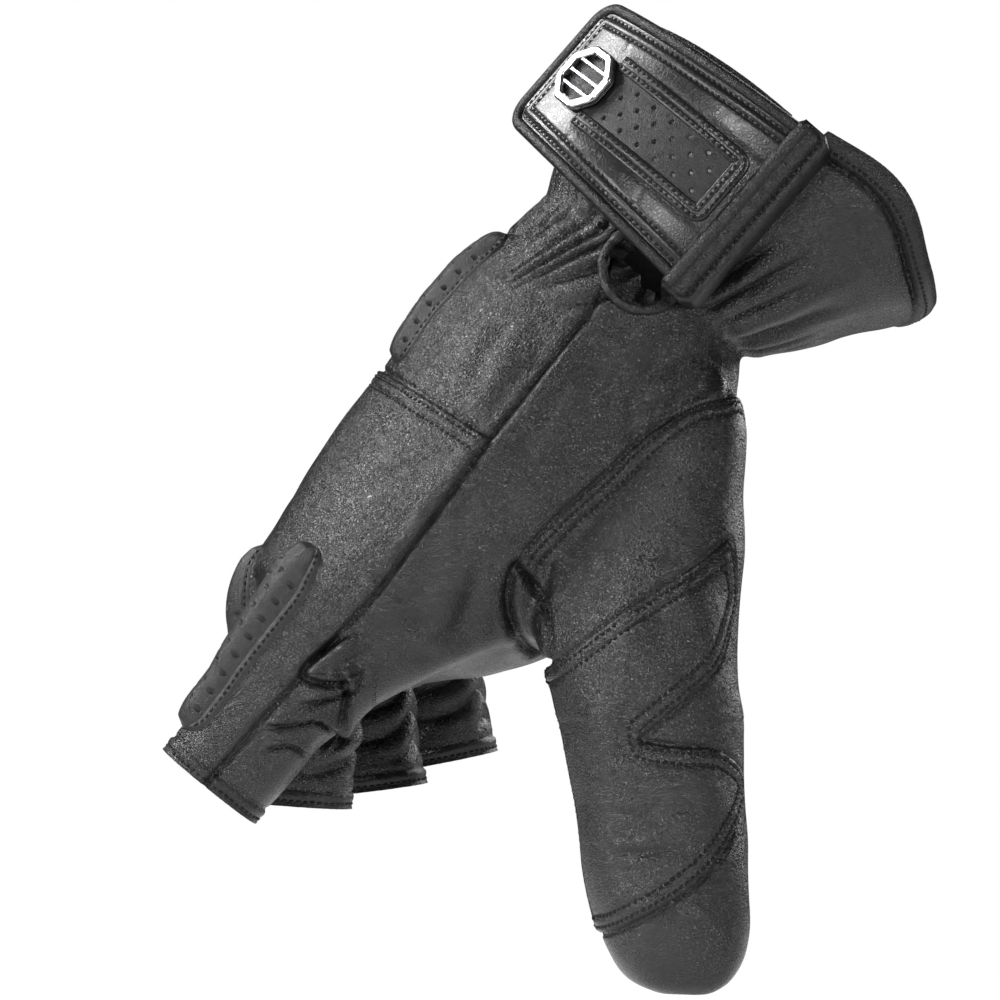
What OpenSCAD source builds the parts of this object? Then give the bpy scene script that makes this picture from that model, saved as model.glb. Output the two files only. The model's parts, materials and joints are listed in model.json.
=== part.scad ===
// Right-hand leather half-finger glove with a full thumb and a strap-closed flared cuff.
// Frame: origin at the middle of the cuff opening, +Z up, fingers down and to -X,
// thumb side towards -Y, little-finger side towards +Y. Millimetres.

/* [Hand] */
// Slope of the hand below level, from the wrist to the fingers
hand_slope = 51; // [40:1:60]
// Half width of the hand at the palm
hand_half_width = 45.5; // [42:0.5:50]
// Height of the side seam above the hand's middle line
side_seam_height = 3.5; // [0:0.5:8]
// Thickness of leather and lining together
wall = 1.8; // [1.2:0.1:2.4]

/* [Cuff] */
// Distance from the gathered wrist to the cuff opening
cuff_height = 34; // [25:1:45]
// Slope of the cuff's axis above level
cuff_slope = 42; // [30:1:55]
// Half size of the gathered wrist, back to palm
wrist_half_depth = 26; // [22:1:32]
// Half size of the gathered wrist, thumb side to little-finger side
wrist_half_width = 34; // [30:1:38]
// Half size of the cuff opening, back to palm
cuff_half_depth = 46; // [36:1:50]
// Half angle of the slit in the cuff, seen from the cuff's axis
slit_half_angle = 3; // [2:0.5:5]
// Radius of the round vent at the bottom of the slit
vent_radius = 8.6; // [6:0.2:10]

/* [Fingers] */
// Width of one finger sleeve
finger_width = 21.6; // [18:0.2:22]
// Distance between finger middle lines
finger_pitch = 22.6; // [22.4:0.2:24]
// Thickness of one finger sleeve, back to front
finger_depth = 26; // [22:1:28]
// Length of the index sleeve from the knuckle joint
finger_length = 47; // [35:1:55]
// Width of a padded rib on a finger
rib_width = 9.5; // [7:0.5:12]
// Height of a padded rib above the leather
rib_height = 3.2; // [2:0.2:5]

/* [Strap] */
// Length of the closure strap along its curve
strap_length = 60; // [50:1:70]
// Width of the strap where it is sewn on
strap_root_width = 42; // [36:1:46]
// Width of the strap near its free end
strap_end_width = 33; // [28:1:40]
// Radius of the strap's curve around the wrist
strap_radius = 57; // [50:1:70]
// Radius of the strap's two round corners
strap_corner = 6; // [3:0.5:9]
// Width across the badge
badge_width = 15; // [12:0.5:18]

/* [Hidden] */
FINGERS = ["index", "middle", "ring", "little"];

// Air left between pieces that are sewn face to face
seam_gap = 0.2;
// How square the sections are: 2 is an ellipse
squareness = 2.3;
leather = [0.1, 0.1, 0.105];
thread = [0.05, 0.05, 0.055];
lining = [0.03, 0.03, 0.03];

cuff_axis = [cos(cuff_slope), 0, sin(cuff_slope)];
wrist = -cuff_height * cuff_axis;
hand_along = [-cos(hand_slope), 0, -sin(hand_slope)];
hand_up = [-sin(hand_slope), 0, cos(hand_slope)];
thumb_side = [0, -1, 0];

// Height of the middle of the hand, its half thickness and half width, by distance from the wrist
hand_middle = [[0, 0], [6, -1.7], [16, -3.7], [32, -5.8], [50, -6.2], [68, -4.3], [84, -1], [97, 4.5]];
hand_thick = [[0, 26], [6, 29], [16, 34], [32, 38], [50, 36.8], [68, 34.7], [84, 30], [97, 23]];
hand_wide = [[0, 34], [6, 34.8], [16, 37], [32, 41], [50, 44], [68, 45.5], [84, 45.5], [97, 44.5]];
hand_start = 0.6;
knuckle_seam = 50;

// Knuckle joints along and above the hand's middle line, and how far each finger is bent
finger_knuckle = [[94.7, 3.3], [97.8, 13.4], [90, 11], [80, 3]];
finger_bend = [0, 35, 46, 50];
finger_scale = [1, 0.97, 1.03, 0.99];

// Sections of the thumb from its root to its tip: middle, direction towards the fingers, half sizes
thumb_sections = [
  [[-29, -31, -68], -38, 29, 17],
  [[-28, -35, -84], -24, 24.5, 19],
  [[-26.5, -40, -104], -4, 20, 18.5],
  [[-23.5, -44, -126], 0, 18, 17],
  [[-21.2, -49, -152], 0, 16.2, 15.5],
  [[-20, -51, -163], 0, 14.5, 14],
  [[-19, -52, -169.5], 0, 10.5, 10.5],
  [[-18.4, -52.5, -172.5], 0, 5, 5]
];
// Where the thumb's base, sewn to the hand, ends and where the sleeve beyond the joint starts
thumb_base_end = 1.7 / 7;
thumb_sleeve_start = 2.07 / 7;
tip_start = 5 / 7;

strap_dir = [-sin(49), 0, cos(49)];
strap_across = [cos(49), 0, sin(49)];
strap_root = [-6.6, -42.8, -9.9];

function bend_power(v) = sign(v) * pow(abs(v), 2 / squareness);

// Point of an oval section; angle 0 is the back of the hand, 90 is the thumb side
function oval(middle, up, half_up, half_side, angle, out) =
  middle + (half_up + out) * bend_power(cos(angle)) * up
  + (half_side + out) * bend_power(sin(angle)) * thumb_side;

function blend(a, b, t) = a + (b - a) * t;

function hand_point(along, angle, out) =
  oval(
    wrist + along * hand_along + lookup(along, hand_middle) * hand_up, hand_up,
    lookup(along, hand_thick), lookup(along, hand_wide) * hand_half_width / 45.5, angle, out
  );

// Angle at which the side seam lies, so that it runs at one height down the hand
function seam_angle(along) =
  acos(pow(
    (side_seam_height - lookup(along, hand_middle)) / lookup(along, hand_thick), squareness / 2
  ));

// Far edge of the hand's leather, which slants towards the little finger
function back_edge(y) = 91 - 0.2 * y - 0.005 * y * y;
function palm_edge(y) = 90 - 0.3 * y - 0.006 * y * y;
function side_of(angle) = -bend_power(sin(angle)) * 45;

// How far the cuff reaches at an angle: furthest on the thumb side, just past the slit
function cuff_reach(angle) =
  1 - 0.1 * cos(angle) + 0.3 * sin(angle)
  + (angle > 90 ? 0.17 * exp(-pow((angle - 112) / 22, 2)) : 0);

// Point on the cuff: 0 is the gathered wrist and 1 is the cuff's edge
function cuff_point(f, angle, out) =
  let(
    reach = f * cuff_reach(angle),
    tilt = blend(49.8, 44.8, min(reach, 1)),
    half_depth = blend(wrist_half_depth, cuff_half_depth, pow(min(reach, 1), 0.85)) + 4 * max(reach - 1, 0)
  )
  oval(wrist * (1 - reach), [-sin(tilt), 0, cos(tilt)], half_depth, wrist_half_width, angle, out);

function finger_y(i) = (i - 1.5) * finger_pitch;
function knuckle(i) =
  wrist + finger_knuckle[i][0] * hand_along + finger_knuckle[i][1] * hand_up + [0, finger_y(i), 0];
function finger_size(i) = finger_length * finger_scale[i];

// Negative distances turn round the knuckle, positive ones run down the finger
function finger_point(i, along, angle, out) =
  let(
    turn = hand_slope + finger_bend[i] + min(along, 0) * 4.1,
    up = [-sin(turn), 0, cos(turn)],
    dir = [-cos(turn), 0, -sin(turn)],
    taper = 1 - 0.05 * max(along, 0) / finger_size(i)
  )
  oval(
    knuckle(i) + max(along, 0) * dir, up, finger_depth / 2 * taper, finger_width / 2 * taper, angle, out
  );

function thumb_row(f) = f * (len(thumb_sections) - 1);
function thumb_value(f, k) =
  let(r = min(thumb_row(f), len(thumb_sections) - 1.0001), a = floor(r))
  blend(thumb_sections[a][k], thumb_sections[a + 1][k], r - a);
function thumb_point(f, angle, out) =
  let(tilt = thumb_value(f, 1), up = [-cos(tilt), 0, sin(tilt)])
  oval(thumb_value(f, 0), up, thumb_value(f, 2), thumb_value(f, 3), angle, out);

// Point on the strap: distance along it, place across it, height above its face
function strap_point(along, across, out) =
  let(turn = along / strap_radius * 180 / PI, r = strap_radius + out)
  strap_root + r * sin(turn) * strap_dir + [0, strap_radius - r * cos(turn), 0]
  + across * strap_across;
function strap_half(along) = blend(strap_root_width, strap_end_width, along / strap_length) / 2;

// Closed solid between two grids of points: depth 0 is the outer face and 1 the inner face
module skin(point, rows, cols, ring = false) {
  last = ring ? cols - 1 : cols;
  n = last + 1;
  m = (rows + 1) * n;
  points = [
    for (depth = [0, 1])
      for (i = [0:rows])
        for (j = [0:last]) point(i / rows, j / cols, depth)
  ];
  function at(depth, i, j) = depth * m + i * n + j % n;
  function quad(a, b, c, d) = [[a, b, c], [a, c, d]];
  faces = [
    for (i = [0:rows - 1])
      for (j = [0:cols - 1])
        each concat(
          quad(at(0, i, j), at(0, i, j + 1), at(0, i + 1, j + 1), at(0, i + 1, j)),
          quad(at(1, i, j), at(1, i + 1, j), at(1, i + 1, j + 1), at(1, i, j + 1))
        ),
    for (j = [0:cols - 1])
      each concat(
        quad(at(0, 0, j), at(1, 0, j), at(1, 0, j + 1), at(0, 0, j + 1)),
        quad(at(0, rows, j), at(0, rows, j + 1), at(1, rows, j + 1), at(1, rows, j))
      ),
    if (!ring)
      for (i = [0:rows - 1])
        each concat(
          quad(at(0, i, 0), at(0, i + 1, 0), at(1, i + 1, 0), at(1, i, 0)),
          quad(at(0, i, last), at(1, i, last), at(1, i + 1, last), at(0, i + 1, last))
        )
  ];
  polyhedron(points, faces);
}

// A panel of the hand between two distances and two angles
module hand_panel(from, to, first, final, rows, cols, out = 0, thick = wall) {
  skin(
    function(f, g, depth)
      let(
        along = blend(from, to(side_of(blend(first(50), final(50), g))), f),
        angle = blend(first(along), final(along), g)
      )
      hand_point(along, angle, out - depth * thick),
    rows, cols
  );
}

module vent_cut() {
  translate([wrist.x - 1, -wrist_half_width, wrist.z])
    rotate([90, 0, 0])
      cylinder(r = vent_radius, h = 30, center = true, $fn = 40);
}

module hand_back() {
  color(leather)
    difference() {
      hand_panel(
        hand_start, function(y) knuckle_seam - seam_gap,
        function(a) -seam_angle(a) + 0.3, function(a) seam_angle(a) - 0.3, 5, 10
      );
      vent_cut();
    }
}

module knuckle_panel() {
  color(leather)
    hand_panel(
      knuckle_seam, function(y) back_edge(y),
      function(a) -seam_angle(a) + 0.3, function(a) seam_angle(a) - 0.3, 4, 10
    );
}

// Solid thumb between two fractions of its length; drop lowers the inner wall of a closed end
module thumb_solid(from, to, rows, cols, out, drop = 0) {
  points = [
    for (i = [0:rows])
      for (j = [0:cols - 1])
        thumb_point(blend(from, to, i / rows), j * 360 / cols, out)
        + [0, 0, i == 0 ? min(drop, 0.01) : drop * i / rows]
  ];
  polyhedron(points, [
    for (i = [0:rows - 1])
      for (j = [0:cols - 1])
        let(k = (j + 1) % cols)
        each [
          [i * cols + j, i * cols + k, (i + 1) * cols + k],
          [i * cols + j, (i + 1) * cols + k, (i + 1) * cols + j]
        ],
    for (j = [1:cols - 2]) [0, j + 1, j],
    for (j = [1:cols - 2]) [rows * cols, rows * cols + j, rows * cols + j + 1]
  ]);
}

module palm_panel() {
  color(leather)
    difference() {
      hand_panel(
        hand_start, function(y) palm_edge(y),
        function(a) seam_angle(a) + 0.3, function(a) 360 - seam_angle(a) - 0.3, 8, 14
      );
      vent_cut();
      thumb_solid(0, 0.6, 10, 24, 0.9);
    }
}

// Padded patch sewn on the heel of the palm, on the little-finger side
module palm_patch() {
  color(leather)
    hand_panel(
      17, function(y) 48, function(a) 200, function(a) 238, 3, 4, 2.4 + 5 * seam_gap, 2.4
    );
}

// Leaf-shaped piece in the crotch between thumb and palm
module thumb_gusset() {
  color(leather)
    hand_panel(
      62, function(y) 78, function(a) 96, function(a) 112, 2, 2, wall + seam_gap, 1.2
    );
}

module wrist_elastic() {
  color(lining)
    hand_panel(
      2.5, function(y) 14, function(a) -62, function(a) 62, 2, 10, -wall - 3 * seam_gap, 1.2
    );
}

module hand_rib(angle) {
  half = rib_width / 2 / 38 * 180 / PI;
  color(leather)
    hand_panel(
      13, function(y) knuckle_seam - 1, function(a) angle - half, function(a) angle + half,
      4, 3, rib_height + seam_gap, rib_height
    );
}

module hand_rib_thumb_side() { hand_rib(14); }
module hand_rib_little_side() { hand_rib(-30); }

// A panel of the cuff between two heights and two angles
module cuff_panel(from, to, first, final, rows, cols, out = 0, thick = wall) {
  skin(
    function(f, g, depth)
      cuff_point(blend(from, to, f), blend(first, final, g), out - depth * thick),
    rows, cols
  );
}

binding = 0.93;
cuff_start = 0.012;

module cuff_back() {
  color(leather)
    difference() {
      cuff_panel(cuff_start, binding, -89.7, 90 - slit_half_angle, 4, 14);
      vent_cut();
    }
}

module cuff_palm() {
  color(leather)
    difference() {
      cuff_panel(cuff_start, binding, 90 + slit_half_angle, 269.7, 4, 14);
      vent_cut();
    }
}

module cuff_binding_back() {
  color(leather)
    cuff_panel(binding + 0.008, 1, -89.7, 90 - slit_half_angle, 1, 14, 0.7, wall + 1.4);
}

module cuff_binding_palm() {
  color(leather)
    cuff_panel(binding + 0.008, 1, 90 + slit_half_angle, 269.7, 1, 14, 0.7, wall + 1.4);
}

// Raised strip that covers the strap's sewn end
module cuff_welt() {
  color(leather)
    cuff_panel(0.2, 0.9, 90 + slit_half_angle + 1, 102, 3, 2, 3.2, 3);
}

module vent_piping() {
  color(leather)
    translate([wrist.x - 1, -wrist_half_width + 0.6, wrist.z])
      rotate([90, 0, 0])
        rotate_extrude($fn = 48)
          translate([vent_radius - 1.4, 0]) circle(r = 1.25, $fn = 20);
}

module loop_patch() {
  color(thread)
    cuff_panel(0.4, 0.82, 50, 76, 2, 4, 0.7, 0.5);
}

// A sector of a finger sleeve
module finger_panel(i, from, to, first, final, rows, cols, out = 0, thick = wall) {
  skin(
    function(f, g, depth)
      finger_point(i, blend(from, to, f), blend(first, final, g), out - depth * thick),
    rows, cols
  );
}

hem_length = 3.2;
root_start = 9;

module finger_back(i) {
  color(leather)
    union() {
      finger_panel(i, 0.05, finger_size(i) - hem_length - seam_gap, -44, 44, 3, 6);
      if (finger_bend[i] > 0)
        finger_panel(i, 2 - finger_bend[i] / 4.1, 0.05, -44, 44, 4, 6);
    }
}

module finger_front(i) {
  color(leather)
    finger_panel(i, root_start, finger_size(i) - hem_length - seam_gap, 136, 224, 3, 6);
}

module finger_sides(i) {
  color(leather)
    for (side = [-1, 1])
      finger_panel(
        i, root_start, finger_size(i) - hem_length - seam_gap, 90 * side - 45.2, 90 * side + 45.2, 3, 6
      );
}

module finger_hem(i) {
  color(leather)
    skin(
      function(f, g, depth)
        finger_point(
          i, finger_size(i) - hem_length * (1 - f), g * 360, 0.5 - depth * (wall + 0.7)
        ),
      1, 20, true
    );
}

module finger_rib(i) {
  half = rib_width / 2 / (finger_width / 2) * 180 / PI * 0.8;
  color(leather)
    finger_panel(
      i, 0.5, finger_size(i) - 6, -half, half, 3, 4, rib_height + seam_gap, rib_height
    );
}

module index_back() { finger_back(0); }
module index_front() { finger_front(0); }
module index_sides() { finger_sides(0); }
module index_hem() { finger_hem(0); }
module index_rib() { finger_rib(0); }
module middle_back() { finger_back(1); }
module middle_front() { finger_front(1); }
module middle_sides() { finger_sides(1); }
module middle_hem() { finger_hem(1); }
module middle_rib() { finger_rib(1); }
module ring_back() { finger_back(2); }
module ring_front() { finger_front(2); }
module ring_sides() { finger_sides(2); }
module ring_hem() { finger_hem(2); }
module ring_rib() { finger_rib(2); }
module little_back() { finger_back(3); }
module little_front() { finger_front(3); }
module little_sides() { finger_sides(3); }
module little_hem() { finger_hem(3); }
module little_rib() { finger_rib(3); }

// A sector of the thumb sleeve between two fractions of its length
module thumb_panel(from, to, first, final, rows, cols, out = 0, thick = wall) {
  skin(
    function(f, g, depth)
      thumb_point(blend(from, to, f), blend(first, final, g), out - depth * thick),
    rows, cols
  );
}

// The two halves of the thumb's base, which is sewn into the palm
module thumb_base_back() {
  color(leather) thumb_panel(0, thumb_base_end, 0.4, 179.6, 3, 12);
}

module thumb_base_front() {
  color(leather) thumb_panel(0, thumb_base_end, 180.4, 359.6, 3, 12);
}

// Half of the thumb sleeve on the side away from the palm
module thumb_back() {
  color(leather) thumb_panel(thumb_sleeve_start, tip_start - 0.002, 0.4, 179.6, 4, 12);
}

// Half of the thumb sleeve next to the palm
module thumb_front() {
  color(leather) thumb_panel(thumb_sleeve_start, tip_start - 0.002, 180.4, 359.6, 4, 12);
}

// Closed round end of the thumb
module thumb_tip() {
  color(leather)
    difference() {
      thumb_solid(tip_start, 1, 4, 24, 0);
      thumb_solid(tip_start, 1, 4, 24, -wall, wall);
    }
}

// Second layer of leather on the outside of the thumb
module thumb_overlay() {
  color(leather)
    thumb_panel(thumb_sleeve_start + 0.005, 4.4 / 7, 15, 165, 4, 10, 1.1 + 2 * seam_gap, 1.1);
}

// Outline of the strap: up one side, round the free end and down the other, inset from the edge
function strap_edge(f, inset) =
  let(
    r = strap_corner - inset,
    side = strap_length - strap_corner,
    x = f * 10
  )
  x <= 3 ? [blend(4, side, x / 3), strap_half(blend(4, side, x / 3)) - inset]
  : x <= 4.5 ? let(a = (x - 3) / 1.5 * 90)
      [side + r * sin(a), strap_half(side) - strap_corner + r * cos(a)]
  : x <= 5.5 ? [strap_length - inset, blend(1, -1, x - 4.5) * (strap_half(side) - strap_corner)]
  : x <= 7 ? let(a = (x - 5.5) / 1.5 * 90)
      [side + r * cos(a), -strap_half(side) + strap_corner - r * sin(a)]
  : [blend(side, 4, (x - 7) / 3), -strap_half(blend(side, 4, (x - 7) / 3)) + inset];

// A layer of the strap: its free end is rounded by the rows near the end
function strap_grid(f, g, first, inset, out) =
  let(
    side = strap_length - strap_corner,
    along = blend(first, strap_length - inset, f),
    past = max(along - side, 0),
    r = strap_corner - inset,
    half = past > 0
      ? strap_half(side) - strap_corner + sqrt(max(r * r - past * past, 0.01))
      : strap_half(along) - inset
  )
  strap_point(along, blend(-half, half, g), out);

module strap_layer(first, inset, out, thick, rows) {
  skin(
    function(f, g, depth) strap_grid(f, g, first, inset, out - depth * thick),
    rows, 4
  );
}

binding_width = 2.2;

module strap_top() {
  color(leather) strap_layer(0.4, binding_width, 0, 1.2, 14);
}

module strap_backing() {
  color(thread) strap_layer(0.4, binding_width, -1.3, 1, 14);
}

module strap_binding() {
  color(leather)
    skin(
      function(f, g, depth)
        let(p = strap_edge(f, blend(0, binding_width - 0.05, 1 - g)))
        strap_point(p[0], p[1], 0.5 - depth * 2.8),
      20, 1
    );
}

module strap_inset() {
  color(thread)
    skin(
      function(f, g, depth) strap_point(blend(6.5, 37, f), blend(-6.3, 6.3, g), 0.9 - depth * 0.8),
      6, 1
    );
}

module hook_patch() {
  color(lining)
    skin(
      function(f, g, depth) strap_point(blend(30, 52, f), blend(-12, 12, g), -2.4 - depth * 0.8),
      4, 1
    );
}

// Puts its children on the strap's face, with z standing out of the leather
module on_strap(along, out) {
  turn = along / strap_radius * 180 / PI;
  x = cos(turn) * strap_dir + [0, sin(turn), 0];
  y = -strap_across;
  z = sin(turn) * strap_dir - [0, cos(turn), 0];
  p = strap_point(along, 0, out);
  multmatrix([
    [x.x, y.x, z.x, p.x],
    [x.y, y.y, z.y, p.y],
    [x.z, y.z, z.z, p.z],
    [0, 0, 0, 1]
  ])
    children();
}

// Openwork badge: an eight-sided rim with three bars across it
module badge() {
  height = 1.6;
  rim = 1.8;
  bar = 1.5;
  color([0.85, 0.85, 0.87])
    on_strap(46, 0.15)
      linear_extrude(height) {
        difference() {
          circle(d = badge_width, $fn = 8);
          circle(d = badge_width - 2 * rim, $fn = 8);
        }
        for (k = [-1:1])
          translate([0, k * badge_width / 5])
            square([badge_width * 0.82 - abs(k) * 1.4, bar], center = true);
      }
}

// Two pins that hold the badge through the leather
module badge_prongs() {
  color([0.7, 0.7, 0.72])
    on_strap(46, 0.1)
      for (k = [-1, 1])
        translate([k * badge_width * 0.38, 0, -2.6]) cylinder(d = 1.2, h = 2.6, $fn = 24);
}

hand_back();
knuckle_panel();
palm_panel();
palm_patch();
thumb_gusset();
wrist_elastic();
hand_rib_thumb_side();
hand_rib_little_side();
cuff_back();
cuff_palm();
cuff_binding_back();
cuff_binding_palm();
cuff_welt();
vent_piping();
loop_patch();
index_back();
index_front();
index_sides();
index_hem();
index_rib();
middle_back();
middle_front();
middle_sides();
middle_hem();
middle_rib();
ring_back();
ring_front();
ring_sides();
ring_hem();
ring_rib();
little_back();
little_front();
little_sides();
little_hem();
little_rib();
thumb_base_back();
thumb_base_front();
thumb_back();
thumb_front();
thumb_tip();
thumb_overlay();
strap_top();
strap_backing();
strap_binding();
strap_inset();
hook_patch();
badge();
badge_prongs();
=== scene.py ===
"""Looks of a right-hand leather half-finger glove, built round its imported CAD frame.

Shapes are worked out in millimetres, in the frame's own axes, and turned into metres when a mesh is made.
"""

import json
import math

import bmesh
import bpy
import numpy as np
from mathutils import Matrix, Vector
from mathutils.bvhtree import BVHTree
from mathutils.kdtree import KDTree


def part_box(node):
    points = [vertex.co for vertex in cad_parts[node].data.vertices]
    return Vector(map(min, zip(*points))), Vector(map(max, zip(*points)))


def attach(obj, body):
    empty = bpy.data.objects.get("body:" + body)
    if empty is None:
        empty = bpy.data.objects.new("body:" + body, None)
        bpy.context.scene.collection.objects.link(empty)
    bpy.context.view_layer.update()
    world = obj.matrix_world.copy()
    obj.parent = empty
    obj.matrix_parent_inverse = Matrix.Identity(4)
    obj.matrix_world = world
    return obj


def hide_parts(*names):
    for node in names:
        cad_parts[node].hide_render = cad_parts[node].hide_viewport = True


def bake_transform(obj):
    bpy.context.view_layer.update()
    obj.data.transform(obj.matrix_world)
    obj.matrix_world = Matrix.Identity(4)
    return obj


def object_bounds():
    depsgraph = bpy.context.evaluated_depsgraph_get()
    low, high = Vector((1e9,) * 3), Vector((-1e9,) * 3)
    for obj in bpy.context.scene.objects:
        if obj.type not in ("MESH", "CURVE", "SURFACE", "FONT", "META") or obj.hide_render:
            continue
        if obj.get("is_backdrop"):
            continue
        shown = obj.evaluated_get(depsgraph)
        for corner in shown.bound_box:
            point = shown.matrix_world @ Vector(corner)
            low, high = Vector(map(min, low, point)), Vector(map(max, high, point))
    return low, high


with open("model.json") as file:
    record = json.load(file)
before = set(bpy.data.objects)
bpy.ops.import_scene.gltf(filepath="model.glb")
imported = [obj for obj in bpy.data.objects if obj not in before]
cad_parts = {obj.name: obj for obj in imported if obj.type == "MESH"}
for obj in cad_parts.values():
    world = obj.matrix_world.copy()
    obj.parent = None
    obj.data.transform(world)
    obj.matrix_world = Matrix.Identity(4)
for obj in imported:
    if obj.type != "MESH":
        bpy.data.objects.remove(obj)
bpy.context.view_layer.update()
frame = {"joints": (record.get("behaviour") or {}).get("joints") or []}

MM = 0.001
FINGERS = ("index", "middle", "ring", "little")
VOXEL = 0.57  # edge of the skin's remeshed faces
SQUARE = 2.3  # how square the sections are: 2 is an ellipse
SWELL = 1.06  # how much more than it shrinks a relaxed mesh is swelled again
LEATHER = 1.3  # thickness of leather and lining together
FOLDED, HEMMED = 2.0, 1.9  # thickness of the cuff's turned edge and of the finger hems
CROSS_ROWS, THUMB_SEAM_ROWS, OVERLAY_ROWS = (1.5, 3.9), (1.3, 3.6), (1.2, 3.5)  # stitch rows from their seam
RIM_ROWS, HEM_ROWS = (1.5,), (2.3,)
STITCH_PITCH = 1.5
LOOKS = {}  # materials by slot name, filled by make_looks

# ---------------------------------------------------------------- the glove's measures, in millimetres


def tilted(degrees):
    """Direction of the back of a section whose axis slopes by so many degrees."""
    a = math.radians(degrees)
    return np.array([-math.sin(a), 0.0, math.cos(a)])


def sloping(degrees):
    """Direction that goes down and towards -X by so many degrees below level."""
    a = math.radians(degrees)
    return np.array([-math.cos(a), 0.0, -math.sin(a)])


def unit(v):
    v = np.asarray(v, float)
    return v / np.linalg.norm(v, axis=-1, keepdims=True)


def joint_place(name):
    return np.array(next(j for j in frame["joints"] if j["name"] == name)["pos_m"]) / MM


def node_box(name):
    lo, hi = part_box(name)
    return np.array(lo) / MM, np.array(hi) / MM


HAND_SLOPE, CUFF_SLOPE, CUFF_HEIGHT = 51, 42, 34
CUFF_TILT, CUFF_HALF_SIDE = 49.8, 34  # slope of the cuff's sections at the wrist, and half its width
THUMB_SIDE = np.array([0.0, -1.0, 0.0])
ALONG, UP = sloping(HAND_SLOPE), tilted(HAND_SLOPE)
WRIST = CUFF_HEIGHT * sloping(CUFF_SLOPE)
CUFF_AXIS = -sloping(CUFF_SLOPE)

# Distance from the wrist: height of the section's middle, half thickness, half width
HAND = [
    (0, 0, 26, 34), (6, -1.7, 29, 34.8), (16, -3.7, 34, 37), (32, -5.8, 38, 41), (50, -6.2, 36.8, 44),
    (68, -4.3, 34.7, 45.5), (84, -1, 30, 45.5), (97, 4.5, 23, 44.5),
]
# Thumb sections: middle x, y, z, tilt, half size in the view, half depth
THUMB_ROWS = [
    (-31, -21, -53, -50, 21, 7),
    (-29, -28, -68, -38, 29, 13), (-28, -33, -84, -24, 24.5, 17), (-26.5, -40, -104, -4, 20, 18.5),
    (-23.5, -44, -126, 0, 18, 17), (-21.2, -49, -152, 0, 16.2, 15.5), (-20, -51, -163, 0, 14.5, 14),
    (-19, -52, -169.5, 0, 10.5, 10.5), (-18.4, -52.5, -172.5, 0, 5, 5),
]
KNUCKLES = [joint_place(f + "_bend") for f in FINGERS]
HEM_MIDDLES = [sum(node_box(f + "_hem")) / 2 for f in FINGERS]
FINGER_DIRS = [unit(h - k) for h, k in zip(HEM_MIDDLES, KNUCKLES)]
FINGER_LENGTHS = [np.linalg.norm(h - k) + 1.6 for h, k in zip(HEM_MIDDLES, KNUCKLES)]
FINGER_UPS = [np.array([d[2], 0, -d[0]]) for d in FINGER_DIRS]
FINGER_DEPTH, FINGER_WIDTH = 13.0, 10.5


def smooth(x, table):
    """Row of values at x on smooth curves through a table's rows, whose first column is x."""
    t = np.asarray(table, float)
    xs, ys = t[:, 0], t[:, 1:]
    slope = np.gradient(ys, xs, axis=0)
    x = np.clip(np.asarray(x, float), xs[0], xs[-1])
    i = np.clip(np.searchsorted(xs, x) - 1, 0, len(xs) - 2)
    h = (xs[i + 1] - xs[i])
    u = ((x - xs[i]) / h)[..., None]
    h = h[..., None]
    return (
        (2 * u**3 - 3 * u**2 + 1) * ys[i] + (u**3 - 2 * u**2 + u) * h * slope[i]
        + (3 * u**2 - 2 * u**3) * ys[i + 1] + (u**3 - u**2) * h * slope[i + 1]
    )


def full_turn(count):
    return np.linspace(0, 2 * math.pi, count, endpoint=False)


def squared_turn(angles, square=SQUARE):
    """Cosine and sine of angles, pushed out towards the corners of a square."""
    c, s = np.cos(angles), np.sin(angles)
    p = 2 / square
    return np.sign(c) * np.abs(c) ** p, np.sign(s) * np.abs(s) ** p


def oval(middle, up, half_up, half_side, angles, square=SQUARE):
    """Points round an oval section: angle 0 is the back, a quarter turn is the thumb side."""
    c, s = squared_turn(angles, square)
    return middle + half_up * c[..., None] * up + half_side * s[..., None] * THUMB_SIDE


def far_edge(y):
    """Where the hand ends and the fingers begin, which slants towards the little finger."""
    return 96 - 0.2 * y - 0.005 * y * y


# ---------------------------------------------------------------- small mesh tools


def new_object(name, verts_mm, faces, smooth_shade=True):
    mesh = bpy.data.meshes.new(name)
    mesh.from_pydata((np.asarray(verts_mm) * MM).tolist(), [], [list(map(int, f)) for f in faces])
    mesh.validate()
    mesh.polygons.foreach_set("use_smooth", [smooth_shade] * len(mesh.polygons))
    return placed(name, mesh)


def placed(name, data):
    obj = bpy.data.objects.new(name, data)
    bpy.context.scene.collection.objects.link(obj)
    return obj


def grid_faces(rows, cols, wrap=False, start=0, flip=False):
    last = cols if wrap else cols - 1
    out = []
    for i in range(rows - 1):
        for j in range(last):
            k = (j + 1) % cols
            here, below = start + i * cols, start + (i + 1) * cols
            q = [here + j, here + k, below + k, below + j]
            out.append(q[::-1] if flip else q)
    return out


def closed_loft(rings):
    """Vertices and faces of a solid through a list of rings, with its ends filled."""
    cols = len(rings[0])
    verts = np.concatenate(list(rings) + [[rings[0].mean(0)], [rings[-1].mean(0)]])
    faces = grid_faces(len(rings), cols, wrap=True)
    first, last = len(verts) - 2, len(verts) - 1
    base = (len(rings) - 1) * cols
    for j in range(cols):
        k = (j + 1) % cols
        faces.append([k, j, first])
        faces.append([base + j, base + k, last])
    return verts, faces


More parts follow.
